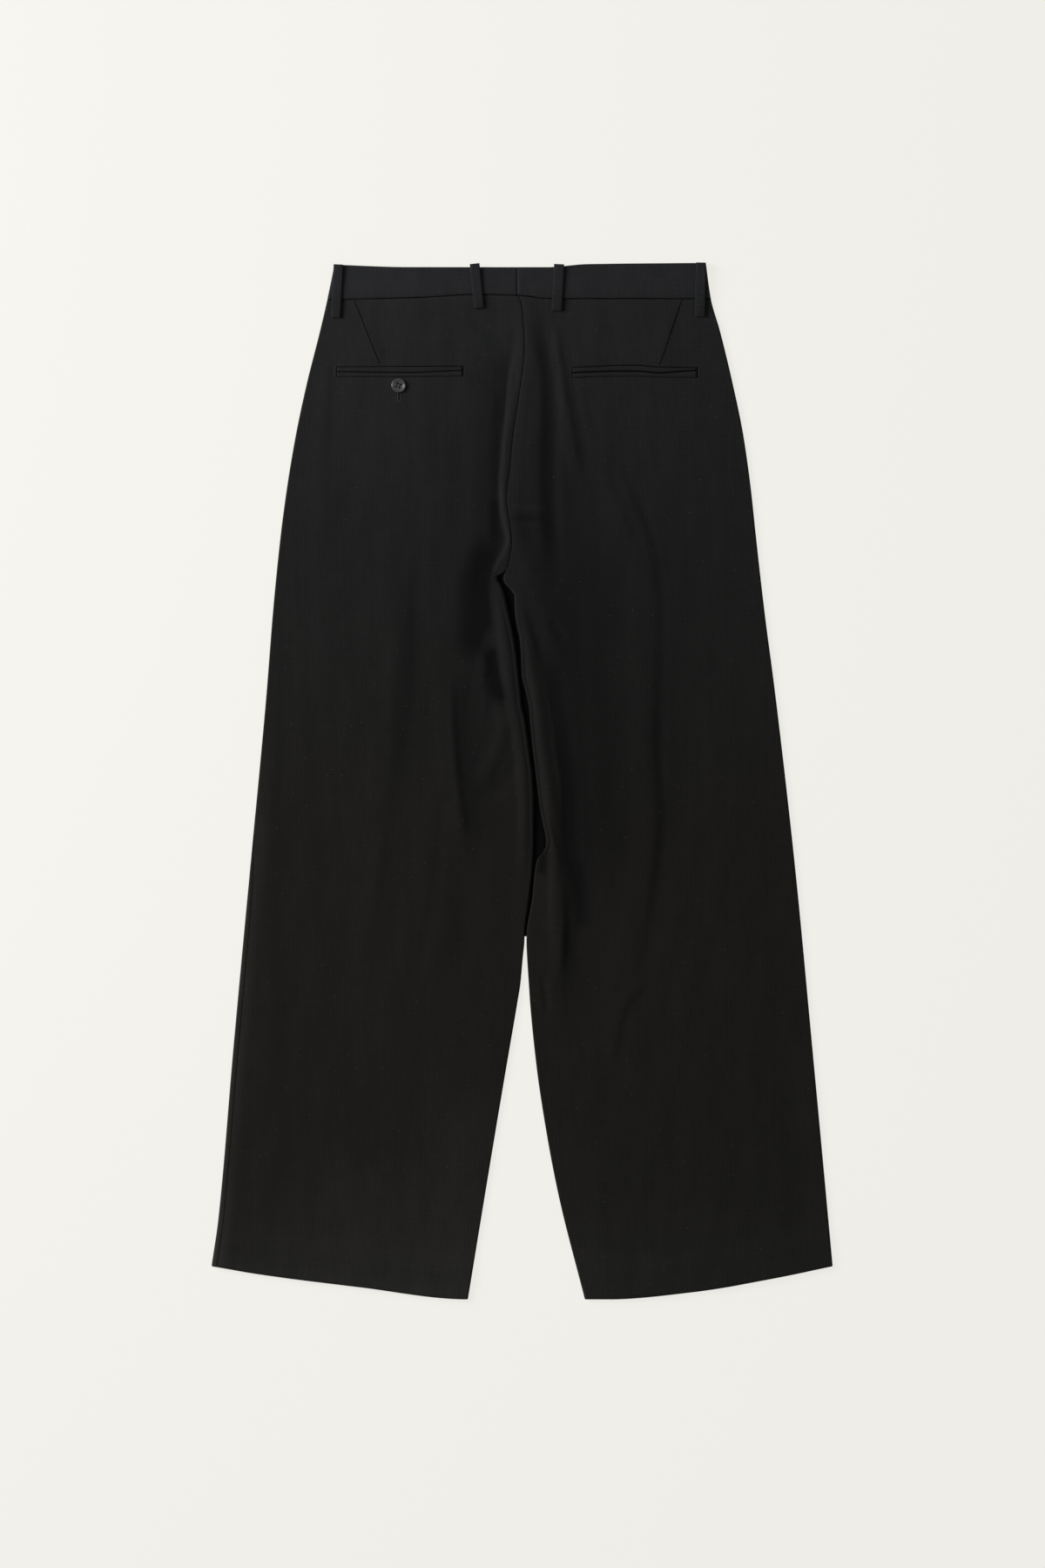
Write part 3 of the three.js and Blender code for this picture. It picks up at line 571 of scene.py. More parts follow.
# %% [markdown]
# ## Suiting
# The cloth is a near-black plain weave of wool and cotton. Close up it has crossing yarns, now and then a
# thicker slub, and a few pale specks of lint. Light is painted into its colour: brighter and cooler near
# the waist, darker and warmer down the legs. It is also a little paler at the hems. All of it is worked
# out from the place on the cloth, so nothing depends on where the camera stands.

# %% Node helpers
def node(tree, kind, **settings):
    made = tree.nodes.new(kind)
    for key, value in settings.items():
        setattr(made, key, value)
    return made


def link(tree, source, target):
    tree.links.new(source, target)


def math_node(tree, operation, a, b=None):
    made = node(tree, "ShaderNodeMath", operation=operation)
    for socket, value in zip(made.inputs, (a, b)):
        if isinstance(value, (int, float)):
            socket.default_value = value
        elif value is not None:
            link(tree, value, socket)
    return made.outputs[0]


def set_inputs(made, values):
    for name, value in values.items():
        made.inputs[name].default_value = value


def new_material(name):
    material = bpy.data.materials.new(name)
    material.use_nodes = True
    tree = material.node_tree
    place = node(tree, "ShaderNodeTexCoord").outputs["Object"]
    return material, tree, tree.nodes["Principled BSDF"], place


def scaled_place(tree, place, scale):
    mapping = node(tree, "ShaderNodeMapping")
    set_inputs(mapping, {"Scale": scale})
    link(tree, place, mapping.inputs["Vector"])
    return mapping.outputs["Vector"]


def map_range(tree, value, low, high, to_low, to_high):
    made = node(tree, "ShaderNodeMapRange")
    set_inputs(made, {"From Min": low, "From Max": high, "To Min": to_low, "To Max": to_high})
    link(tree, value, made.inputs["Value"])
    return made.outputs["Result"]


# %% Colour along the garment, with painted light
# share 0 is the hem and share 1 the top of the waistband
# painted light: brighter and cooler towards the waist, where the light from the top is strongest, darker
# and warmer down the legs; paler again at the hems and brighter on the waistband
COLOR_AND_PAINTED_LIGHT = table("share color", [
    (0.00, (0.0125, 0.0122, 0.0116)),
    (0.06, (0.0103, 0.0098, 0.0090)),
    (0.12, (0.0086, 0.0081, 0.0069)),
    (0.45, (0.0081, 0.0073, 0.0066)),
    (0.75, (0.0092, 0.0092, 0.0091)),
    (0.90, (0.0112, 0.0114, 0.0118)),
    (0.96, (0.0120, 0.0123, 0.0128)),
    (0.975, (0.0151, 0.0154, 0.0168)),
    (1.00, (0.0155, 0.0158, 0.0172)),
])
YARN = 0.62 * MM
LINT_CELL = 11 * MM
LINT_SIZE = 0.042
STREAKS = dict(warp=(1500, 45, 200), weft=(40, 1300, 200), mottle=(60, 22, 60))
STRENGTH = dict(warp=0.16, weft=0.10, mottle=(0.94, 1.06))


def color_and_painted_light(tree, place):
    split = node(tree, "ShaderNodeSeparateXYZ")
    link(tree, place, split.inputs[0])
    share = map_range(tree, split.outputs["Y"], BOTTOM * MM, -BOTTOM * MM, 0, 1)
    ramp = node(tree, "ShaderNodeValToRGB")
    stops = ramp.color_ramp.elements
    while len(stops) < len(COLOR_AND_PAINTED_LIGHT):
        stops.new(0.5)
    for stop, row in zip(stops, COLOR_AND_PAINTED_LIGHT):
        stop.position = row["share"]
        stop.color = (*row["color"], 1)
    link(tree, share, ramp.inputs["Fac"])
    return ramp.outputs["Color"]


def yarn_height(tree, place):
    heights = []
    for direction in ("X", "Y"):
        wave = node(tree, "ShaderNodeTexWave", wave_type="BANDS", bands_direction=direction,
                    wave_profile="SIN")
        set_inputs(wave, {"Scale": 0.05 / YARN * 2, "Distortion": 1.2, "Detail": 1.0, "Detail Scale": 0.35})
        link(tree, place, wave.inputs["Vector"])
        heights.append(wave.outputs["Fac"])
    return math_node(tree, "ADD", *heights)


def streaks(tree, place, scale):
    noise = node(tree, "ShaderNodeTexNoise")
    set_inputs(noise, {"Scale": 1.0, "Detail": 2.0})
    link(tree, scaled_place(tree, place, scale), noise.inputs["Vector"])
    return noise.outputs["Fac"]


def lint(tree, place):
    cells = node(tree, "ShaderNodeTexVoronoi", voronoi_dimensions="3D", feature="F1")
    cells.inputs["Scale"].default_value = 1 / LINT_CELL
    link(tree, place, cells.inputs["Vector"])
    return math_node(tree, "LESS_THAN", cells.outputs["Distance"], LINT_SIZE)


# %% The suiting material
def suiting(name):
    material, tree, shader, place = new_material(name)
    warp, weft, mottle = (streaks(tree, place, scale) for scale in STREAKS.values())
    grain = math_node(tree, "ADD", map_range(tree, warp, 0.3, 0.7, -STRENGTH["warp"], STRENGTH["warp"]),
                      map_range(tree, weft, 0.3, 0.7, -STRENGTH["weft"], STRENGTH["weft"]))
    even = math_node(tree, "ADD", grain, map_range(tree, mottle, 0.3, 0.7, *STRENGTH["mottle"]))
    # the painted light and shade darkens and lightens the cloth's colour
    painted_shading = node(tree, "ShaderNodeAttribute", attribute_name="painted_shading")
    shade = math_node(tree, "MULTIPLY", even, painted_shading.outputs["Fac"])
    # the colour with painted light, times the grain and the painted light and shade
    color_with_painted_shading = node(tree, "ShaderNodeVectorMath", operation="SCALE")
    link(tree, color_and_painted_light(tree, place), color_with_painted_shading.inputs[0])
    link(tree, shade, color_with_painted_shading.inputs["Scale"])
    speckled = node(tree, "ShaderNodeMix", data_type="RGBA")
    speckled.inputs["B"].default_value = (0.045, 0.044, 0.042, 1)
    link(tree, lint(tree, place), speckled.inputs["Factor"])
    link(tree, color_with_painted_shading.outputs[0], speckled.inputs["A"])
    link(tree, speckled.outputs["Result"], shader.inputs["Base Color"])
    bump = node(tree, "ShaderNodeBump")
    set_inputs(bump, {"Strength": 0.5, "Distance": 0.12 * MM})
    link(tree, math_node(tree, "ADD", yarn_height(tree, place), warp), bump.inputs["Height"])
    link(tree, bump.outputs["Normal"], shader.inputs["Normal"])
    set_inputs(shader, {"Roughness": 0.85, "Specular IOR Level": 0.12, "Sheen Weight": 0.06,
                        "Sheen Roughness": 0.45})
    return material


suiting_cloth = suiting("suiting_cloth")
print("material:", suiting_cloth.name)

# %% [markdown]
# ## Backs and fronts of the legs
# A trouser leg laid flat is a flattened tube. Its lower layer, the front, lies on the table. At both
# edges the cloth turns round and comes back as the upper layer, the back. So each panel has three parts:
# columns round its outer fold, flat columns, and columns round the inner fold. Above the crotch there is
# no inner fold, and the panel ends at the seat seam.

# %% Rows down the leg
HEM_ROUNDING = table("up wall", [
    (0.0, 0.5),
    (0.25, 1.2),
    (0.7, 1.65),
    (1.4, HEM_CLOTH),
])
HEM_SOFT = 24
MEET_ROUNDS = 8


def leg_rows(spacing):
    start = waist_seam(0.0)
    plain = np.linspace(start, BOTTOM + 4, int((start - BOTTOM) / spacing))
    hem = [BOTTOM + row["up"] for row in HEM_ROUNDING[::-1]]
    y = np.concatenate([plain, hem])
    wall = mix(CLOTH, HEM_CLOTH, smooth_step((BOTTOM + HEM_DEPTH + HEM_SOFT / 2 - y) / HEM_SOFT))
    wall[-len(hem):] = [row["wall"] for row in HEM_ROUNDING[::-1]]
    return (start - y) / (start - BOTTOM), wall


def front_waist_seam(x):
    side = np.where(np.asarray(x) < BAND_SEAM_X, WAIST_SEAM[0]["x"], WAIST_SEAM[-1]["x"])
    return mix(waist_seam(side), waist_seam(BAND_SEAM_X), (side - x) / (side - BAND_SEAM_X))


def row_line(share, x, upper):
    seam = waist_seam(x) if upper else front_waist_seam(x)
    return mix(seam - SEAM_GAP, hem_line(x), share)


def meet(share, edge, upper):
    y = row_line(share, 0.0, upper)
    for _ in range(MEET_ROUNDS):
        y = row_line(share, edge(y), upper)
    return edge(y), y


# %% Columns round a folded edge
EDGE_STEPS = 9
EDGE_RUN = 2.0
EDGE_HEIGHT_AT = 3.0


def round_the_edge(edge, inward, low, high, arc):
    radius = (high - low) / 2
    quarter = radius * math.pi / 2
    angle = np.clip(arc / radius, -math.pi / 2, math.pi / 2)
    run = np.maximum(np.abs(arc) - quarter, 0)
    x = edge + inward * (radius * (1 - np.cos(angle)) + run)
    return x, low + radius + radius * np.sin(angle)


def folded_columns(x, wall, high, inward, seam_arc, upper):
    low = wall / 2
    quarter = (high - low) / 2 * (math.pi / 2)
    half_gap = SEAM_GAP / 2
    start = seam_arc + half_gap if upper else seam_arc - half_gap
    end = np.maximum(quarter, start) + EDGE_RUN if upper else -quarter - EDGE_RUN
    steps = np.linspace(0, 1, EDGE_STEPS + 1)
    arc = mix(start[:, None], end[:, None], steps)
    edge = (x + inward * low)[:, None]
    return round_the_edge(edge, inward, low[:, None], high[:, None], arc)


# %% [markdown]
# The fronts have two pleats on each side, pressed flat and open at the waist seam. On the table each one
# is only a shallow step, highest at the waist, which runs out about 175 mm below it.

# %% One panel
PLEATS = [(0.26, 0), (0.355, 1), (0.362, 0), (0.44, 0), (0.535, 1), (0.542, 0)]
PLEAT = dict(step=0.5, length=175)
CROWDING = 0.5
OPENING = 5.0
SEAM_COLUMNS = np.array([3.6, 3.0, 2.4, 1.9, 1.4, 1.0, 0.7, 0.4, 0.2, 0.0])


def leg_grid(side, upper, spacing, flat_columns):
    outward = -1 if side == "left" else 1
    share, wall = leg_rows(spacing)
    outer_x, outer_y = meet(share, outer_edge[side], upper)
    leg_x, leg_y = meet(share, inner_edge[side], upper)
    seam_x, seam_y = meet(share, centre_back if upper else centre_front, upper)
    below = leg_y <= CROTCH["y"]
    inner_x = np.where(below, leg_x, seam_x + outward * SEAM_GAP / 2)
    inner_y = np.where(below, leg_y, seam_y)
    plain_seam = np.full(share.shape, -SIDE_SEAM_UNDER)
    side_seam = left_side_seam(outer_y) if side == "left" else plain_seam
    outer_high = upper_middle(outer_x - outward * EDGE_HEIGHT_AT, outer_y, wall)
    inner_high = upper_middle(inner_x + outward * EDGE_HEIGHT_AT, inner_y, wall)
    ox, oz = folded_columns(outer_x, wall, outer_high, -outward, side_seam, upper)
    fx, fz = folded_columns(inner_x, wall, inner_high, outward, plain_seam, upper)
    fx, fz = fx[:, ::-1], fz[:, ::-1]
    sx = inner_x[:, None] + outward * SEAM_COLUMNS
    flat = np.broadcast_to(wall[:, None] / 2, sx.shape)
    sz = upper_middle(sx, inner_y[:, None], wall[:, None]) if upper else flat
    opened = smooth_step((CROTCH["y"] - leg_y) / OPENING)[:, None]
    ix, iz = mix(sx, fx, opened), mix(sz, fz, opened)
    s = np.linspace(0, 1, flat_columns + 2)[1:-1]
    pleat_at, pleat_lift = np.array(PLEATS).T
    across = s + CROWDING * s * (1 - s) if upper else np.union1d(s, pleat_at)
    x = mix(ox[:, -1:], ix[:, :1], across)
    y = row_line(share[:, None], x, upper)
    opening = PLEAT["step"] * smooth_step(1 - share * LENGTH / PLEAT["length"])[:, None]
    pleated = wall[:, None] / 2 + opening * np.interp(across, pleat_at, pleat_lift)
    z = upper_middle(x, y, wall[:, None]) if upper else pleated
    x = np.hstack([ox, x, ix])
    z = np.hstack([oz, z, iz])
    y = row_line(share[:, None], x, upper)
    return np.stack([x, y, z], axis=2), wall[:, None]


# %% Make the four panels
FINE = 2.7
for side in ("left", "right"):
    for face, upper, spacing, columns in (("back", True, FINE, int(240 / FINE)), ("front", False, 8.0, 30)):
        name = f"{face}_{side}"
        grid, wall = leg_grid(side, upper, spacing, columns)
        cloth_mesh(f"{name}_cloth", grid, wall, suiting_cloth)
        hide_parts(name)
        top = round(float(grid[..., 2].max()), 1)
        print(name, "points:", grid.shape[0] * grid.shape[1], "top:", top, "mm")

# %% [markdown]
# ## Waistband
# The band is a straight strip of cloth folded over a stiff inlay, so it is thicker and smoother than the
# legs. It is sewn on around the waist and joined at the centre back. Its top edge is a soft fold.

# %% Waistband halves
BAND_CLOTH = 2.2
BAND_LOFT = 0.35
BAND_EDGE = [(0.0, 0.25), (0.25, 0.62), (0.6, 0.85), (1.2, 1.0)]
BAND_WAVES = table("rise length turn start", [
    (0.10, 52, 12, 0.8),
    (0.07, 31, -25, 2.6),
    (0.05, 18, 70, 4.1),
])
BAND_TOP = 2 * BAND_CLOTH + SEAM_GAP + BAND_LOFT
BAND_HEIGHT = 33.0
BAND_MIDDLE = 510.0
BAND_CROWDING = 0.25
BAND_DIP = dict(depth=0.5, width=0.9, calm=25)


def edged(length, edge, count):
    near = [(along, share) for along, share in edge]
    middle = [(along, 1.0) for along in np.linspace(edge[-1][0], length - edge[-1][0], count + 2)[1:-1]]
    far = [(length - along, share) for along, share in edge[::-1]]
    return np.array([*near, *middle, *far]).T


def band_grid(side, upper, count):
    outward = -1 if side == "left" else 1
    seam = waist_seam if upper else front_waist_seam
    down, share_of_wall = edged(BAND_HEIGHT, BAND_EDGE, 10)
    share = down / BAND_HEIGHT
    outer_x = np.full(share.shape, outer_edge[side](BAND_MIDDLE))
    for _ in range(MEET_ROUNDS):
        outer_y = mix(waist_top(outer_x), seam(outer_x), share)
        outer_x = outer_edge[side](outer_y)
    wall = BAND_CLOTH * share_of_wall
    low_wall = np.full(share.shape, BAND_CLOTH)
    high = np.full(share.shape, BAND_TOP - BAND_CLOTH / 2)
    arc = np.full(share.shape, -SIDE_SEAM_UNDER)
    ox, oz = folded_columns(outer_x, low_wall, high, -outward, arc, upper)
    seam_x = BAND_SEAM_X + outward * SEAM_GAP / 2
    s = np.linspace(0, 1, count + 1)[1:]
    s = s + BAND_CROWDING * s * (1 - s)
    fx = mix(ox[:, -1:], seam_x, s)
    x = np.hstack([ox, fx])
    y = mix(waist_top(x), seam(x), share[:, None])
    flat = high[:, None] if upper else np.full((len(share), 1), BAND_CLOTH / 2)
    z = np.hstack([oz, np.broadcast_to(flat, fx.shape)])
    if upper:
        inside = smooth_step(np.abs(x - outer_x[:, None]) / BAND_DIP["calm"])
        dip = BAND_DIP["depth"] * np.exp(-(((x - BAND_SEAM_X) / BAND_DIP["width"]) ** 2))
        z = z + waves(BAND_WAVES, x, y) * inside - dip
    return np.stack([x, y, z], axis=2), wall[:, None]


for side in ("left", "right"):
    for face, upper, count in (("back", True, 80), ("front", False, 24)):
        name = f"waistband_{face}_{side}"
        grid, wall = band_grid(side, upper, count)
        cloth_mesh(f"{name}_cloth", grid, wall, suiting_cloth)
        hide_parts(name)
print("waistband top at", BAND_TOP, "mm")

# %% [markdown]
# ## Seams
# Where two edges are sewn right sides together and turned, a narrow ditch is left, and hardly any light
# reaches its bottom. That shade is painted: each ditch is a thin near-black strip laid in the dip of the
# cloth. The darts are the same: a fold of cloth is stitched away underneath, and only the line of the
# stitching shows, as a strip of painted shade.

# %% Strips of painted shade along the seams
DARTS = {
    "left": [(-171.3, 490.8), (-158.9, 458.8), (-145.5, 425.9)],
    "right": [(163.3, 491.7), (153.5, 463.2), (147.3, 443.7), (140.2, 425.0)],
}
DITCH = dict(width=0.8, lift=0.06, wall=0.25)
WAIST_DITCH = dict(width=1.1, lift=0.35, wall=0.3)


def strip(name, path, width, lift, wall, material, height=None):
    line = rounded(path)
    width = line[:, 2] if width is None else np.full(len(line), width)
    line = line[:, :2]
    way = np.gradient(line, axis=0)
    way /= np.linalg.norm(way, axis=1, keepdims=True)
    side_way = np.stack([way[:, 1], -way[:, 0]], axis=1)
    across = np.array([-0.5, -0.25, 0.0, 0.25, 0.5])
    xy = line[:, None, :] + side_way[:, None, :] * (width[:, None] * across)[..., None]
    z = np.full(xy.shape[:2], height) if height else top_of_back(xy[..., 0], xy[..., 1]) + lift
    ends = np.array([0.4, 0.9, 1.0, 0.9, 0.4]) * wall
    piece = cloth_mesh(name, np.dstack([xy, z]), ends[None, :], material)
    return piece


def dark_material(name, color, roughness):
    material, tree, shader, place = new_material(name)
    fleck = streaks(tree, place, (900, 900, 900))
    tint = node(tree, "ShaderNodeMix", data_type="RGBA")
    set_inputs(tint, {"A": (*[c * 0.7 for c in color], 1), "B": (*[c * 1.3 for c in color], 1)})
    link(tree, fleck, tint.inputs["Factor"])
    link(tree, tint.outputs["Result"], shader.inputs["Base Color"])
    set_inputs(shader, {"Roughness": roughness, "Specular IOR Level": 0.1})
    return material


# near-black painted shade for the seams, the pocket lines, the buttonhole slit, the holes of the button and
# the gap between the legs
painted_shade_dark = dark_material("painted_ditch_shade", (0.0012, 0.0012, 0.0013), 0.95)
thread = dark_material("thread", (0.033, 0.033, 0.034), 0.6)

seams = {}
for side, path in DARTS.items():
    seams[f"dart_{side}"] = strip(f"dart_{side}", path, material=painted_shade_dark, **DITCH)
centre = [(float(centre_back(y)), y) for y in np.arange(494, CROTCH["y"], -12.0)]
seams["seat_seam"] = strip("seat_seam", centre, material=painted_shade_dark, **DITCH)
for side, start, end in (("left", -198.8, BAND_SEAM_X), ("right", BAND_SEAM_X, 192.8)):
    path = [(x, float(waist_seam(x)) - 0.1) for x in np.linspace(start, end, 18)]
    seams[f"waist_{side}"] = strip(f"waist_seam_{side}", path, material=painted_shade_dark, **WAIST_DITCH)
print("seams:", sorted(seams))

# %% [markdown]
# ## Between the legs
# The legs roll up side by side, and from the crotch down to the fork a black gap lies between the rolls.
# Deep in the real one the fronts of both legs press on each other. Here a thin strip on the table, coloured
# near-black as painted shade, closes the gap below the rolls, tucked under both of them.

# %% Floor of the gap
GAP_FLOOR = dict(tuck=1.1, height=0.30, wall=0.4, step=3.0, past=3.0)
TONGUE = dict(left_below=208.0, right_above=205, clear=2)

gap_y = np.arange(CROTCH["y"] + GAP_FLOOR["past"], FORK - GAP_FLOOR["past"], -GAP_FLOOR["step"])
gap_left = inner_edge["left"](np.minimum(gap_y, TONGUE["left_below"]))
beside_tongue = np.where(gap_y > TONGUE["right_above"], CROTCH["x"] + TONGUE["clear"], -np.inf)
gap_right = np.maximum(inner_edge["right"](gap_y), beside_tongue)
gap_width = gap_right - gap_left + 2 * GAP_FLOOR["tuck"]
gap_rows = np.stack([(gap_left + gap_right) / 2, gap_y, gap_width], axis=1)
# the strip is cloth coloured near-black: painted shade
between = strip("cloth_in_painted_shade_between_the_legs", gap_rows, width=None, lift=0.0, wall=GAP_FLOOR["wall"],
                material=painted_shade_dark, height=GAP_FLOOR["height"])
print("widest gap between the legs:", round(float((gap_right - gap_left).max()), 1), "mm")

# %% [markdown]
# ## Pockets
# Each back pocket has two narrow welts. They are set into a cut in the leg, so they stand hardly above
# it, and the lines that show are the ditches around them and the slit between. These lines are near-black
# strips of painted shade. Short bars of stitching hold the ends.

# %% Lines of the pockets
POCKETS = {
    "left": dict(
        ends=(-188.9, -60.9),
        top=[(-190, 422.9), (-150, 423.1), (-110, 423.3), (-60, 423.5)],
        slit=[(-190, 417.9), (-150, 417.3), (-115, 417.1), (-85, 418.1), (-60, 419.2)],
        bottom=[(-190, 412.9), (-125, 412.7), (-60, 413.4)],
        widths=(0.95, 1.15, 0.35),
        stitches=[[(-191.2, 422.5), (-191.2, 414.0)], [(-58.6, 422.5), (-58.6, 414.5)]],
    ),
    "right": dict(
        ends=(51.7, 178.4),
        top=[(50, 422.3), (75, 423.2), (103, 424.5), (120, 424.4), (136, 422.8), (180, 422.0)],
        slit=[(50, 416.7), (75, 417.8), (103, 418.4), (120, 418.2), (140, 416.7), (160, 418.0),
              (180, 419.4)],
        bottom=[(50, 411.6), (80, 413.0), (115, 413.3), (145, 412.2), (180, 412.0)],
        widths=(1.15, 1.75, 0.4),
        stitches=[[(49.4, 422.5), (49.4, 415.5)], [(180.4, 421.0), (180.6, 413.5)]],
    ),
}
pocket_line = {
    (side, part): curve_through([dict(x=x, y=y) for x, y in row[part]], "x", "y")
    for side, row in POCKETS.items()
    for part in ("top", "slit", "bottom")
}
print("pocket mouths:", [round(row["ends"][1] - row["ends"][0], 1) for row in POCKETS.values()], "mm")

# %% Welts, slits and end stitches
WELT = dict(sink=0.9, cloth=1.0, gap=0.45, swell=0.25)
LONG_DITCH = dict(lift=0.22, wall=0.3)
END_DITCH = dict(lift=0.26, wall=0.3)
END_DITCHES = {"start": dict(past=-0.45, width=1.3), "end": dict(past=0.35, width=0.5)}
STITCH = dict(width=0.4, lift=0.1, wall=0.3)
WELT_EDGE = [(0.0, 0.35), (0.06, 0.7), (0.14, 0.9), (0.25, 1.0)]


def welt_grid(side, part):
    above, below = ("top", "slit") if part == "upper" else ("slit", "bottom")
    width = dict(zip(("top", "slit", "bottom"), POCKETS[side]["widths"]))
    down, share = edged(1.0, WELT_EDGE, 4)
    x = np.linspace(*POCKETS[side]["ends"], 66)
    high = pocket_line[side, above](x) - WELT["gap"] * width[above]
    low = pocket_line[side, below](x) + WELT["gap"] * width[below]
    y = mix(high, low, down[:, None])
    x = np.broadcast_to(x, y.shape)
    swell = WELT["swell"] * np.sin(math.pi * down)[:, None]
    z = top_of_back(x, y) + SEAM_GAP + WELT["cloth"] / 2 - WELT["sink"] + swell
    return np.dstack([x, y, z]), (WELT["cloth"] * share)[:, None]


pockets = {}
for side, row in POCKETS.items():
    for part in ("upper", "lower"):
        name = f"pocket_{side}_{part}_welt"
        grid, wall = welt_grid(side, part)
        pockets[name] = cloth_mesh(f"{name}_cloth", grid, wall, suiting_cloth)
        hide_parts(name)
    start, end = row["ends"]
    # near-black strips of painted shade along the ditches and the slit, and across both ends
    for part, width in zip(("top", "slit", "bottom"), row["widths"]):
        path = [(x, float(pocket_line[side, part](x))) for x in np.linspace(start, end, 14)]
        name = f"pocket_{side}_{part}_ditch"
        pockets[part + side] = strip(name, path, width=width, material=painted_shade_dark, **LONG_DITCH)
    for at, (end_name, painted_ditch_shade) in zip(row["ends"], END_DITCHES.items()):
        x = at + painted_ditch_shade["past"]
        path = [(x, float(pocket_line[side, part](x))) for part in ("bottom", "slit", "top")]
        name = f"pocket_{side}_{end_name}_ditch"
        pockets[end_name + side] = strip(name, path, width=painted_ditch_shade["width"], material=painted_shade_dark, **END_DITCH)
    for number, path in enumerate(row["stitches"]):
        name = f"pocket_{side}_stitch_{number}"
        pockets[f"stitch{number}{side}"] = strip(name, path, material=thread, **STITCH)
print("pocket pieces:", len(pockets))

# %% [markdown]
# ## Belt loops
# A belt loop is a narrow strip, folded to a double layer. Its top end goes over the edge of the band. Its
# lower end is turned under and stitched to the leg, so both ends are thicker than the middle, which stands
# clear of the band.

# %% Belt loops
LOOPS = {
    "side_left": dict(width=9.6, top=(-187.6, 527.2), bottom=(-190.4, 473.0)),
    "back_left": dict(width=10.0, top=(-48.5, 528.0), bottom=(-44.0, 482.5)),
    "back_right": dict(width=10.4, top=(37.8, 527.5), bottom=(35.2, 480.0)),
    "side_right": dict(width=10.2, top=(182.6, 529.1), bottom=(181.4, 474.0)),
}
LOOP = dict(cloth=1.5, tab=7.0, shift=1.5, corner=1.2, sag=0.35, sag_run=8)
LOOP_ACROSS = [(-1.0, 0.3), (-0.96, 0.6), (-0.88, 0.82), (-0.7, 0.95), (-0.35, 1.0), (0.0, 1.0),
               (0.35, 1.0), (0.7, 0.95), (0.88, 0.82), (0.96, 0.6), (1.0, 0.3)]


def loop_grid(width, top, bottom):
    top, bottom = np.array(top), np.array(bottom)
    way = top - bottom
    run = float(np.linalg.norm(way))
    way = way / run
    side_way = np.array([way[1], -way[0]])
    middle_rows = np.linspace(1.5, run - 1.5, 40)
    along = np.concatenate([[0, 0.3, 0.8], middle_rows, [run - 0.8, run - 0.3, run]])
    seat_low = float(top_of_back(bottom[0], bottom[1] + 3)[0]) + SEAM_GAP
    seat_high = BAND_TOP + SEAM_GAP
    outer = mix(seat_low, seat_high, along / run) + 2 * LOOP["cloth"]
    to_end = np.minimum(along, run - along)
    folded = 1 - smooth_step((to_end - LOOP["tab"]) / LOOP["shift"])
    thick = LOOP["cloth"] * (1 + folded)
    round_off = np.sqrt(np.clip(1 - (1 - np.clip(to_end / LOOP["corner"], 0, 1)) ** 2, 0.12, 1))
    sag = -LOOP["sag"] * smooth_step((to_end - LOOP["tab"]) / LOOP["sag_run"])
    across, share = np.array(LOOP_ACROSS).T
    xy = bottom + way * along[:, None, None] + side_way * (across * width / 2)[None, :, None]
    middle = outer - thick / 2 + sag
    wall = (thick * round_off)[:, None] * share[None, :]
    return np.dstack([xy, np.broadcast_to(middle[:, None], wall.shape)]), wall


loops = {}
for name, row in LOOPS.items():
    grid, wall = loop_grid(**row)
    loops[name] = cloth_mesh(f"belt_loop_{name}_cloth", grid, wall, suiting_cloth)
    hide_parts(f"belt_loop_{name}")
print("belt loops:", len(loops))

# %% [markdown]
# ## Button and buttonhole
# The left back pocket closes with a dark horn button that has a raised rim, a dished middle and four holes.
# It is turned from a flat disc, so its section is drawn once and swept around. Below it the end of the
# worked buttonhole shows, with a bar of stitches across its end.

# %% Button
BUTTON = dict(x=-126.1, y=403.7, radius=7.4, turn=24, hole=0.85, from_centre=2.2, depth=0.9, slope=0.25)
BUTTON_PROFILE = table("r z", [
    (0.0, 1.25),
    (3.0, 1.2),
    (4.6, 1.45),
    (5.3, 1.7),
    (5.65, 1.58),
    (6.0, 1.85),
    (6.5, 1.95),
    (7.0, 1.8),
    (7.3, 1.4),
    (7.38, 1.1),
    (7.4, 0.9),
])
button_seat = float(top_of_back(BUTTON["x"], BUTTON["y"])[0]) + SEAM_GAP


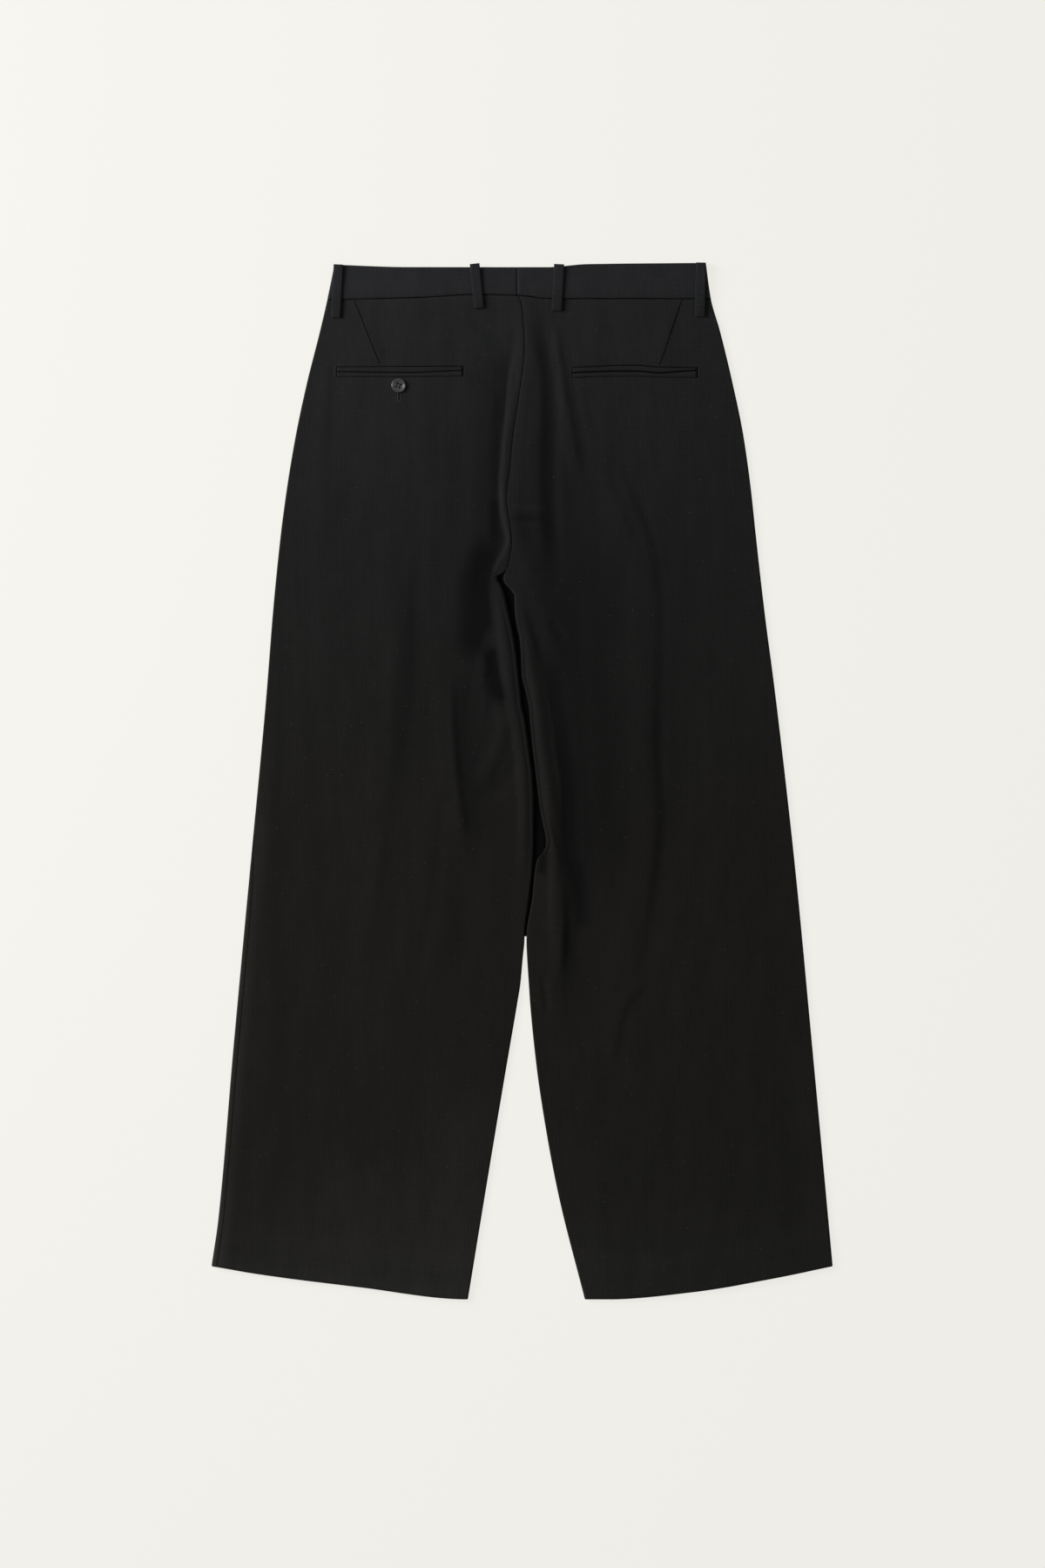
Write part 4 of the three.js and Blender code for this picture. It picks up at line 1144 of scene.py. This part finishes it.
def button_mesh(material):
    face = curve_through(BUTTON_PROFILE, "r", "z")
    r = np.concatenate([np.linspace(0.02, 5.2, 44), np.linspace(5.3, BUTTON["radius"], 22)])
    angle = np.linspace(0, 2 * math.pi, 120, endpoint=False)
    x = r[:, None] * np.cos(angle)
    y = r[:, None] * np.sin(angle)
    z = np.broadcast_to(face(r)[:, None], x.shape).copy()
    for i in range(4):
        at = math.radians(BUTTON["turn"] + 90 * i)
        away = np.hypot(x - BUTTON["from_centre"] * math.cos(at), y - BUTTON["from_centre"] * math.sin(at))
        z -= BUTTON["depth"] * (1 - smooth_step((away - BUTTON["hole"]) / BUTTON["slope"]))
    top = np.stack([x + BUTTON["x"], y + BUTTON["y"], z + button_seat], axis=2).reshape(-1, 3)
    ring = len(angle)
    rows = len(r)
    low_r = np.array([7.2, 6.2, 4.0])
    low_z = np.array([0.5, 0.12, 0.0])
    under = np.stack([
        low_r[:, None] * np.cos(angle) + BUTTON["x"],
        low_r[:, None] * np.sin(angle) + BUTTON["y"],
        np.broadcast_to(low_z[:, None] + button_seat, (3, ring)),
    ], axis=2).reshape(-1, 3)
    points = np.vstack([top, under])
    index = np.arange((rows + 3) * ring).reshape(rows + 3, ring)
    after = np.roll(index, -1, axis=1)
    quads = np.stack([index[:-1], index[1:], after[1:], after[:-1]], axis=2).reshape(-1, 4).tolist()
    faces = [*quads, index[0].tolist(), index[-1][::-1].tolist()]
    return new_piece("pocket_button_horn", points, faces, material)


def horn_material():
    material, tree, shader, place = new_material("button_horn")
    grain = streaks(tree, place, (260, 700, 260))
    ramp = node(tree, "ShaderNodeValToRGB")
    ramp.color_ramp.elements[0].position = 0.3
    ramp.color_ramp.elements[0].color = (0.022, 0.0192, 0.0186, 1)
    ramp.color_ramp.elements[1].position = 0.75
    ramp.color_ramp.elements[1].color = (0.062, 0.056, 0.0545, 1)
    link(tree, grain, ramp.inputs["Fac"])
    link(tree, ramp.outputs["Color"], shader.inputs["Base Color"])
    set_inputs(shader, {"Roughness": 0.34, "Specular IOR Level": 0.5, "Coat Weight": 0.3,
                        "Coat Roughness": 0.2})
    return material


button = button_mesh(horn_material())
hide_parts("pocket_button")

# %% Thread in the holes of the button, coloured near-black as painted shade
SIDES = 20
THREAD_IN_PAINTED_SHADE = dict(face=1.23, lift=0.05, radius=0.82, thick=0.55)


def disc(name, x, y, z, radius, thick, material):
    angle = np.linspace(0, 2 * math.pi, SIDES, endpoint=False)
    ring = np.stack([x + radius * np.cos(angle), y + radius * np.sin(angle)], axis=1)
    low = np.column_stack([ring, np.full(SIDES, z)])
    points = np.vstack([low, low + np.array([0, 0, thick])])
    index = np.arange(SIDES)
    after = np.roll(index, -1)
    walls = np.stack([index, after, after + SIDES, index + SIDES], axis=1).tolist()
    return new_piece(name, points, [index[::-1].tolist(), (index + SIDES).tolist(), *walls], material)


threads_in_painted_shade = []
for number in range(4):
    turn = math.radians(BUTTON["turn"] + 90 * number)
    thread_shade_x = BUTTON["x"] + BUTTON["from_centre"] * math.cos(turn)
    thread_shade_y = BUTTON["y"] + BUTTON["from_centre"] * math.sin(turn)
    thread_shade_z = button_seat + THREAD_IN_PAINTED_SHADE["face"] - BUTTON["depth"] + THREAD_IN_PAINTED_SHADE["lift"]
    threads_in_painted_shade.append(disc(f"button_thread_in_painted_shade_{number}", thread_shade_x, thread_shade_y, thread_shade_z, THREAD_IN_PAINTED_SHADE["radius"], THREAD_IN_PAINTED_SHADE["thick"],
                      painted_shade_dark))
print("holes of the button:", len(threads_in_painted_shade))

# %% Buttonhole
HOLE_X = -125.7
HOLE_END = 387.9


def hole_line(name, across, end, width, lift, material):
    path = [(HOLE_X + across, y) for y in (399.5, 394.0, end)]
    return strip(f"buttonhole_{name}", path, width, lift, 0.3, material)


# the slit is a near-black strip of painted shade; its edges and the bar are thread
buttonhole = {
    "slit": hole_line("slit", 0.0, HOLE_END + 0.9, 0.8, 0.14, painted_shade_dark),
    "left": hole_line("left_edge", -1.25, HOLE_END + 0.3, 0.75, 0.16, thread),
    "right": hole_line("right_edge", 1.25, HOLE_END + 0.3, 0.75, 0.16, thread),
    "bar": strip("buttonhole_bar", [(HOLE_X + across, HOLE_END) for across in (-2.2, 0.0, 2.0)],
                 0.9, 0.2, 0.35, thread),
}
print("buttonhole pieces:", len(buttonhole))

# %% [markdown]
# ## Strip behind the front opening
# The front opening has a strip of the same cloth behind it, which is hidden between the front and the
# back. It is cut with one rounded corner and lies loosely between the two layers.

# %% Fly shield
SHIELD = dict(left=-24.0, right=15.0, bottom=300.0, corner=18.0, cloth=0.35, below_waist=2.0)


def shield_grid():
    top = float(waist_seam(0.0)) - SHIELD["below_waist"]
    y = np.concatenate([np.linspace(top, SHIELD["bottom"] + SHIELD["corner"], 40),
                        SHIELD["bottom"] + SHIELD["corner"] * (1 - np.sin(np.linspace(0.15, 1.5, 10)))])
    drop = np.clip(SHIELD["bottom"] + SHIELD["corner"] - y, 0, SHIELD["corner"])
    left = SHIELD["left"] + SHIELD["corner"] - np.sqrt(SHIELD["corner"] ** 2 - drop**2)
    x = mix(left[:, None], SHIELD["right"], np.linspace(0, 1, 14))
    y = np.broadcast_to(y[:, None], x.shape)
    under_back = upper_middle(x, y, CLOTH) - CLOTH / 2
    return np.dstack([x, y, np.minimum(1.8, (CLOTH + under_back) / 2)])


cloth_mesh("fly_shield_cloth", shield_grid(), SHIELD["cloth"], suiting_cloth)
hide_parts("fly_shield")
print("strip behind the opening:", SHIELD["right"] - SHIELD["left"], "mm wide")

# %% [markdown]
# ## The cut of the cloth
# Each piece of cloth was cut flat. The back and front of a leg together go all round it. The seam
# allowances, the turned-up hems and the inner layer of the band are folded away inside. `SEWN_ON` lists
# the smaller pieces sewn onto each cut piece.

SEWN_ON = {
    "back_left": [seams["dart_left"], seams["waist_left"], seams["seat_seam"], button, *threads_in_painted_shade,
                  *buttonhole.values()],
    "back_right": [seams["dart_right"], seams["waist_right"]],
    "front_left": [between],
    "waistband_back_left": [loops["side_left"], loops["back_left"]],
    "waistband_back_right": [loops["back_right"], loops["side_right"]],
}
for side in ("left", "right"):
    start = f"pocket_{side}"
    SEWN_ON[f"back_{side}"] += [piece for piece in pockets.values() if piece.name.startswith(start)]


# %% [markdown]
# ## Floor and light
# Catalogue pictures of flat clothes are often made on a lit table, so the ground is even and shows no
# shadow. The table here glows softly for the same reason. A large soft panel stands low on the left and a
# little above the waist end. Its light gets weaker towards the right leg and gives every fold a dark side.

# %% Lit table, sky and lamp panel
TABLE = dict(size=8.0, glow=(0.785, 0.777, 0.733), color=(0.12, 0.119, 0.112))
SKY = 0.30
LAMP = dict(at=(-2.44, 0.95, 1.45), size=1.4, power=100.0)

table_material = bpy.data.materials.new("table_top")
table_material.use_nodes = True
table_shader = table_material.node_tree.nodes["Principled BSDF"]
set_inputs(table_shader, {"Base Color": (*TABLE["color"], 1), "Roughness": 0.9, "Specular IOR Level": 0.0,
                          "Emission Color": (*TABLE["glow"], 1), "Emission Strength": 1.0})
bpy.ops.mesh.primitive_plane_add(size=TABLE["size"], location=(0, 0, -0.2 * MM))
table_top = bpy.context.object
table_top.name = "table"
table_top.data.materials.append(table_material)

world = bpy.data.worlds.new("studio")
bpy.context.scene.world = world
world.use_nodes = True
set_inputs(world.node_tree.nodes["Background"], {"Color": (1, 1, 1, 1), "Strength": SKY})

lamp_data = bpy.data.lights.new("lamp_panel", "AREA")
lamp_data.shape = "SQUARE"
lamp_data.size = LAMP["size"]
lamp_data.energy = LAMP["power"]
lamp = bpy.data.objects.new("lamp_panel", lamp_data)
lamp.location = LAMP["at"]
lamp.rotation_euler = Vector(LAMP["at"]).to_track_quat("Z", "Y").to_euler()
bpy.context.scene.collection.objects.link(lamp)
bpy.context.scene.view_settings.view_transform = "Standard"
print("lamp at", LAMP["at"], "m")
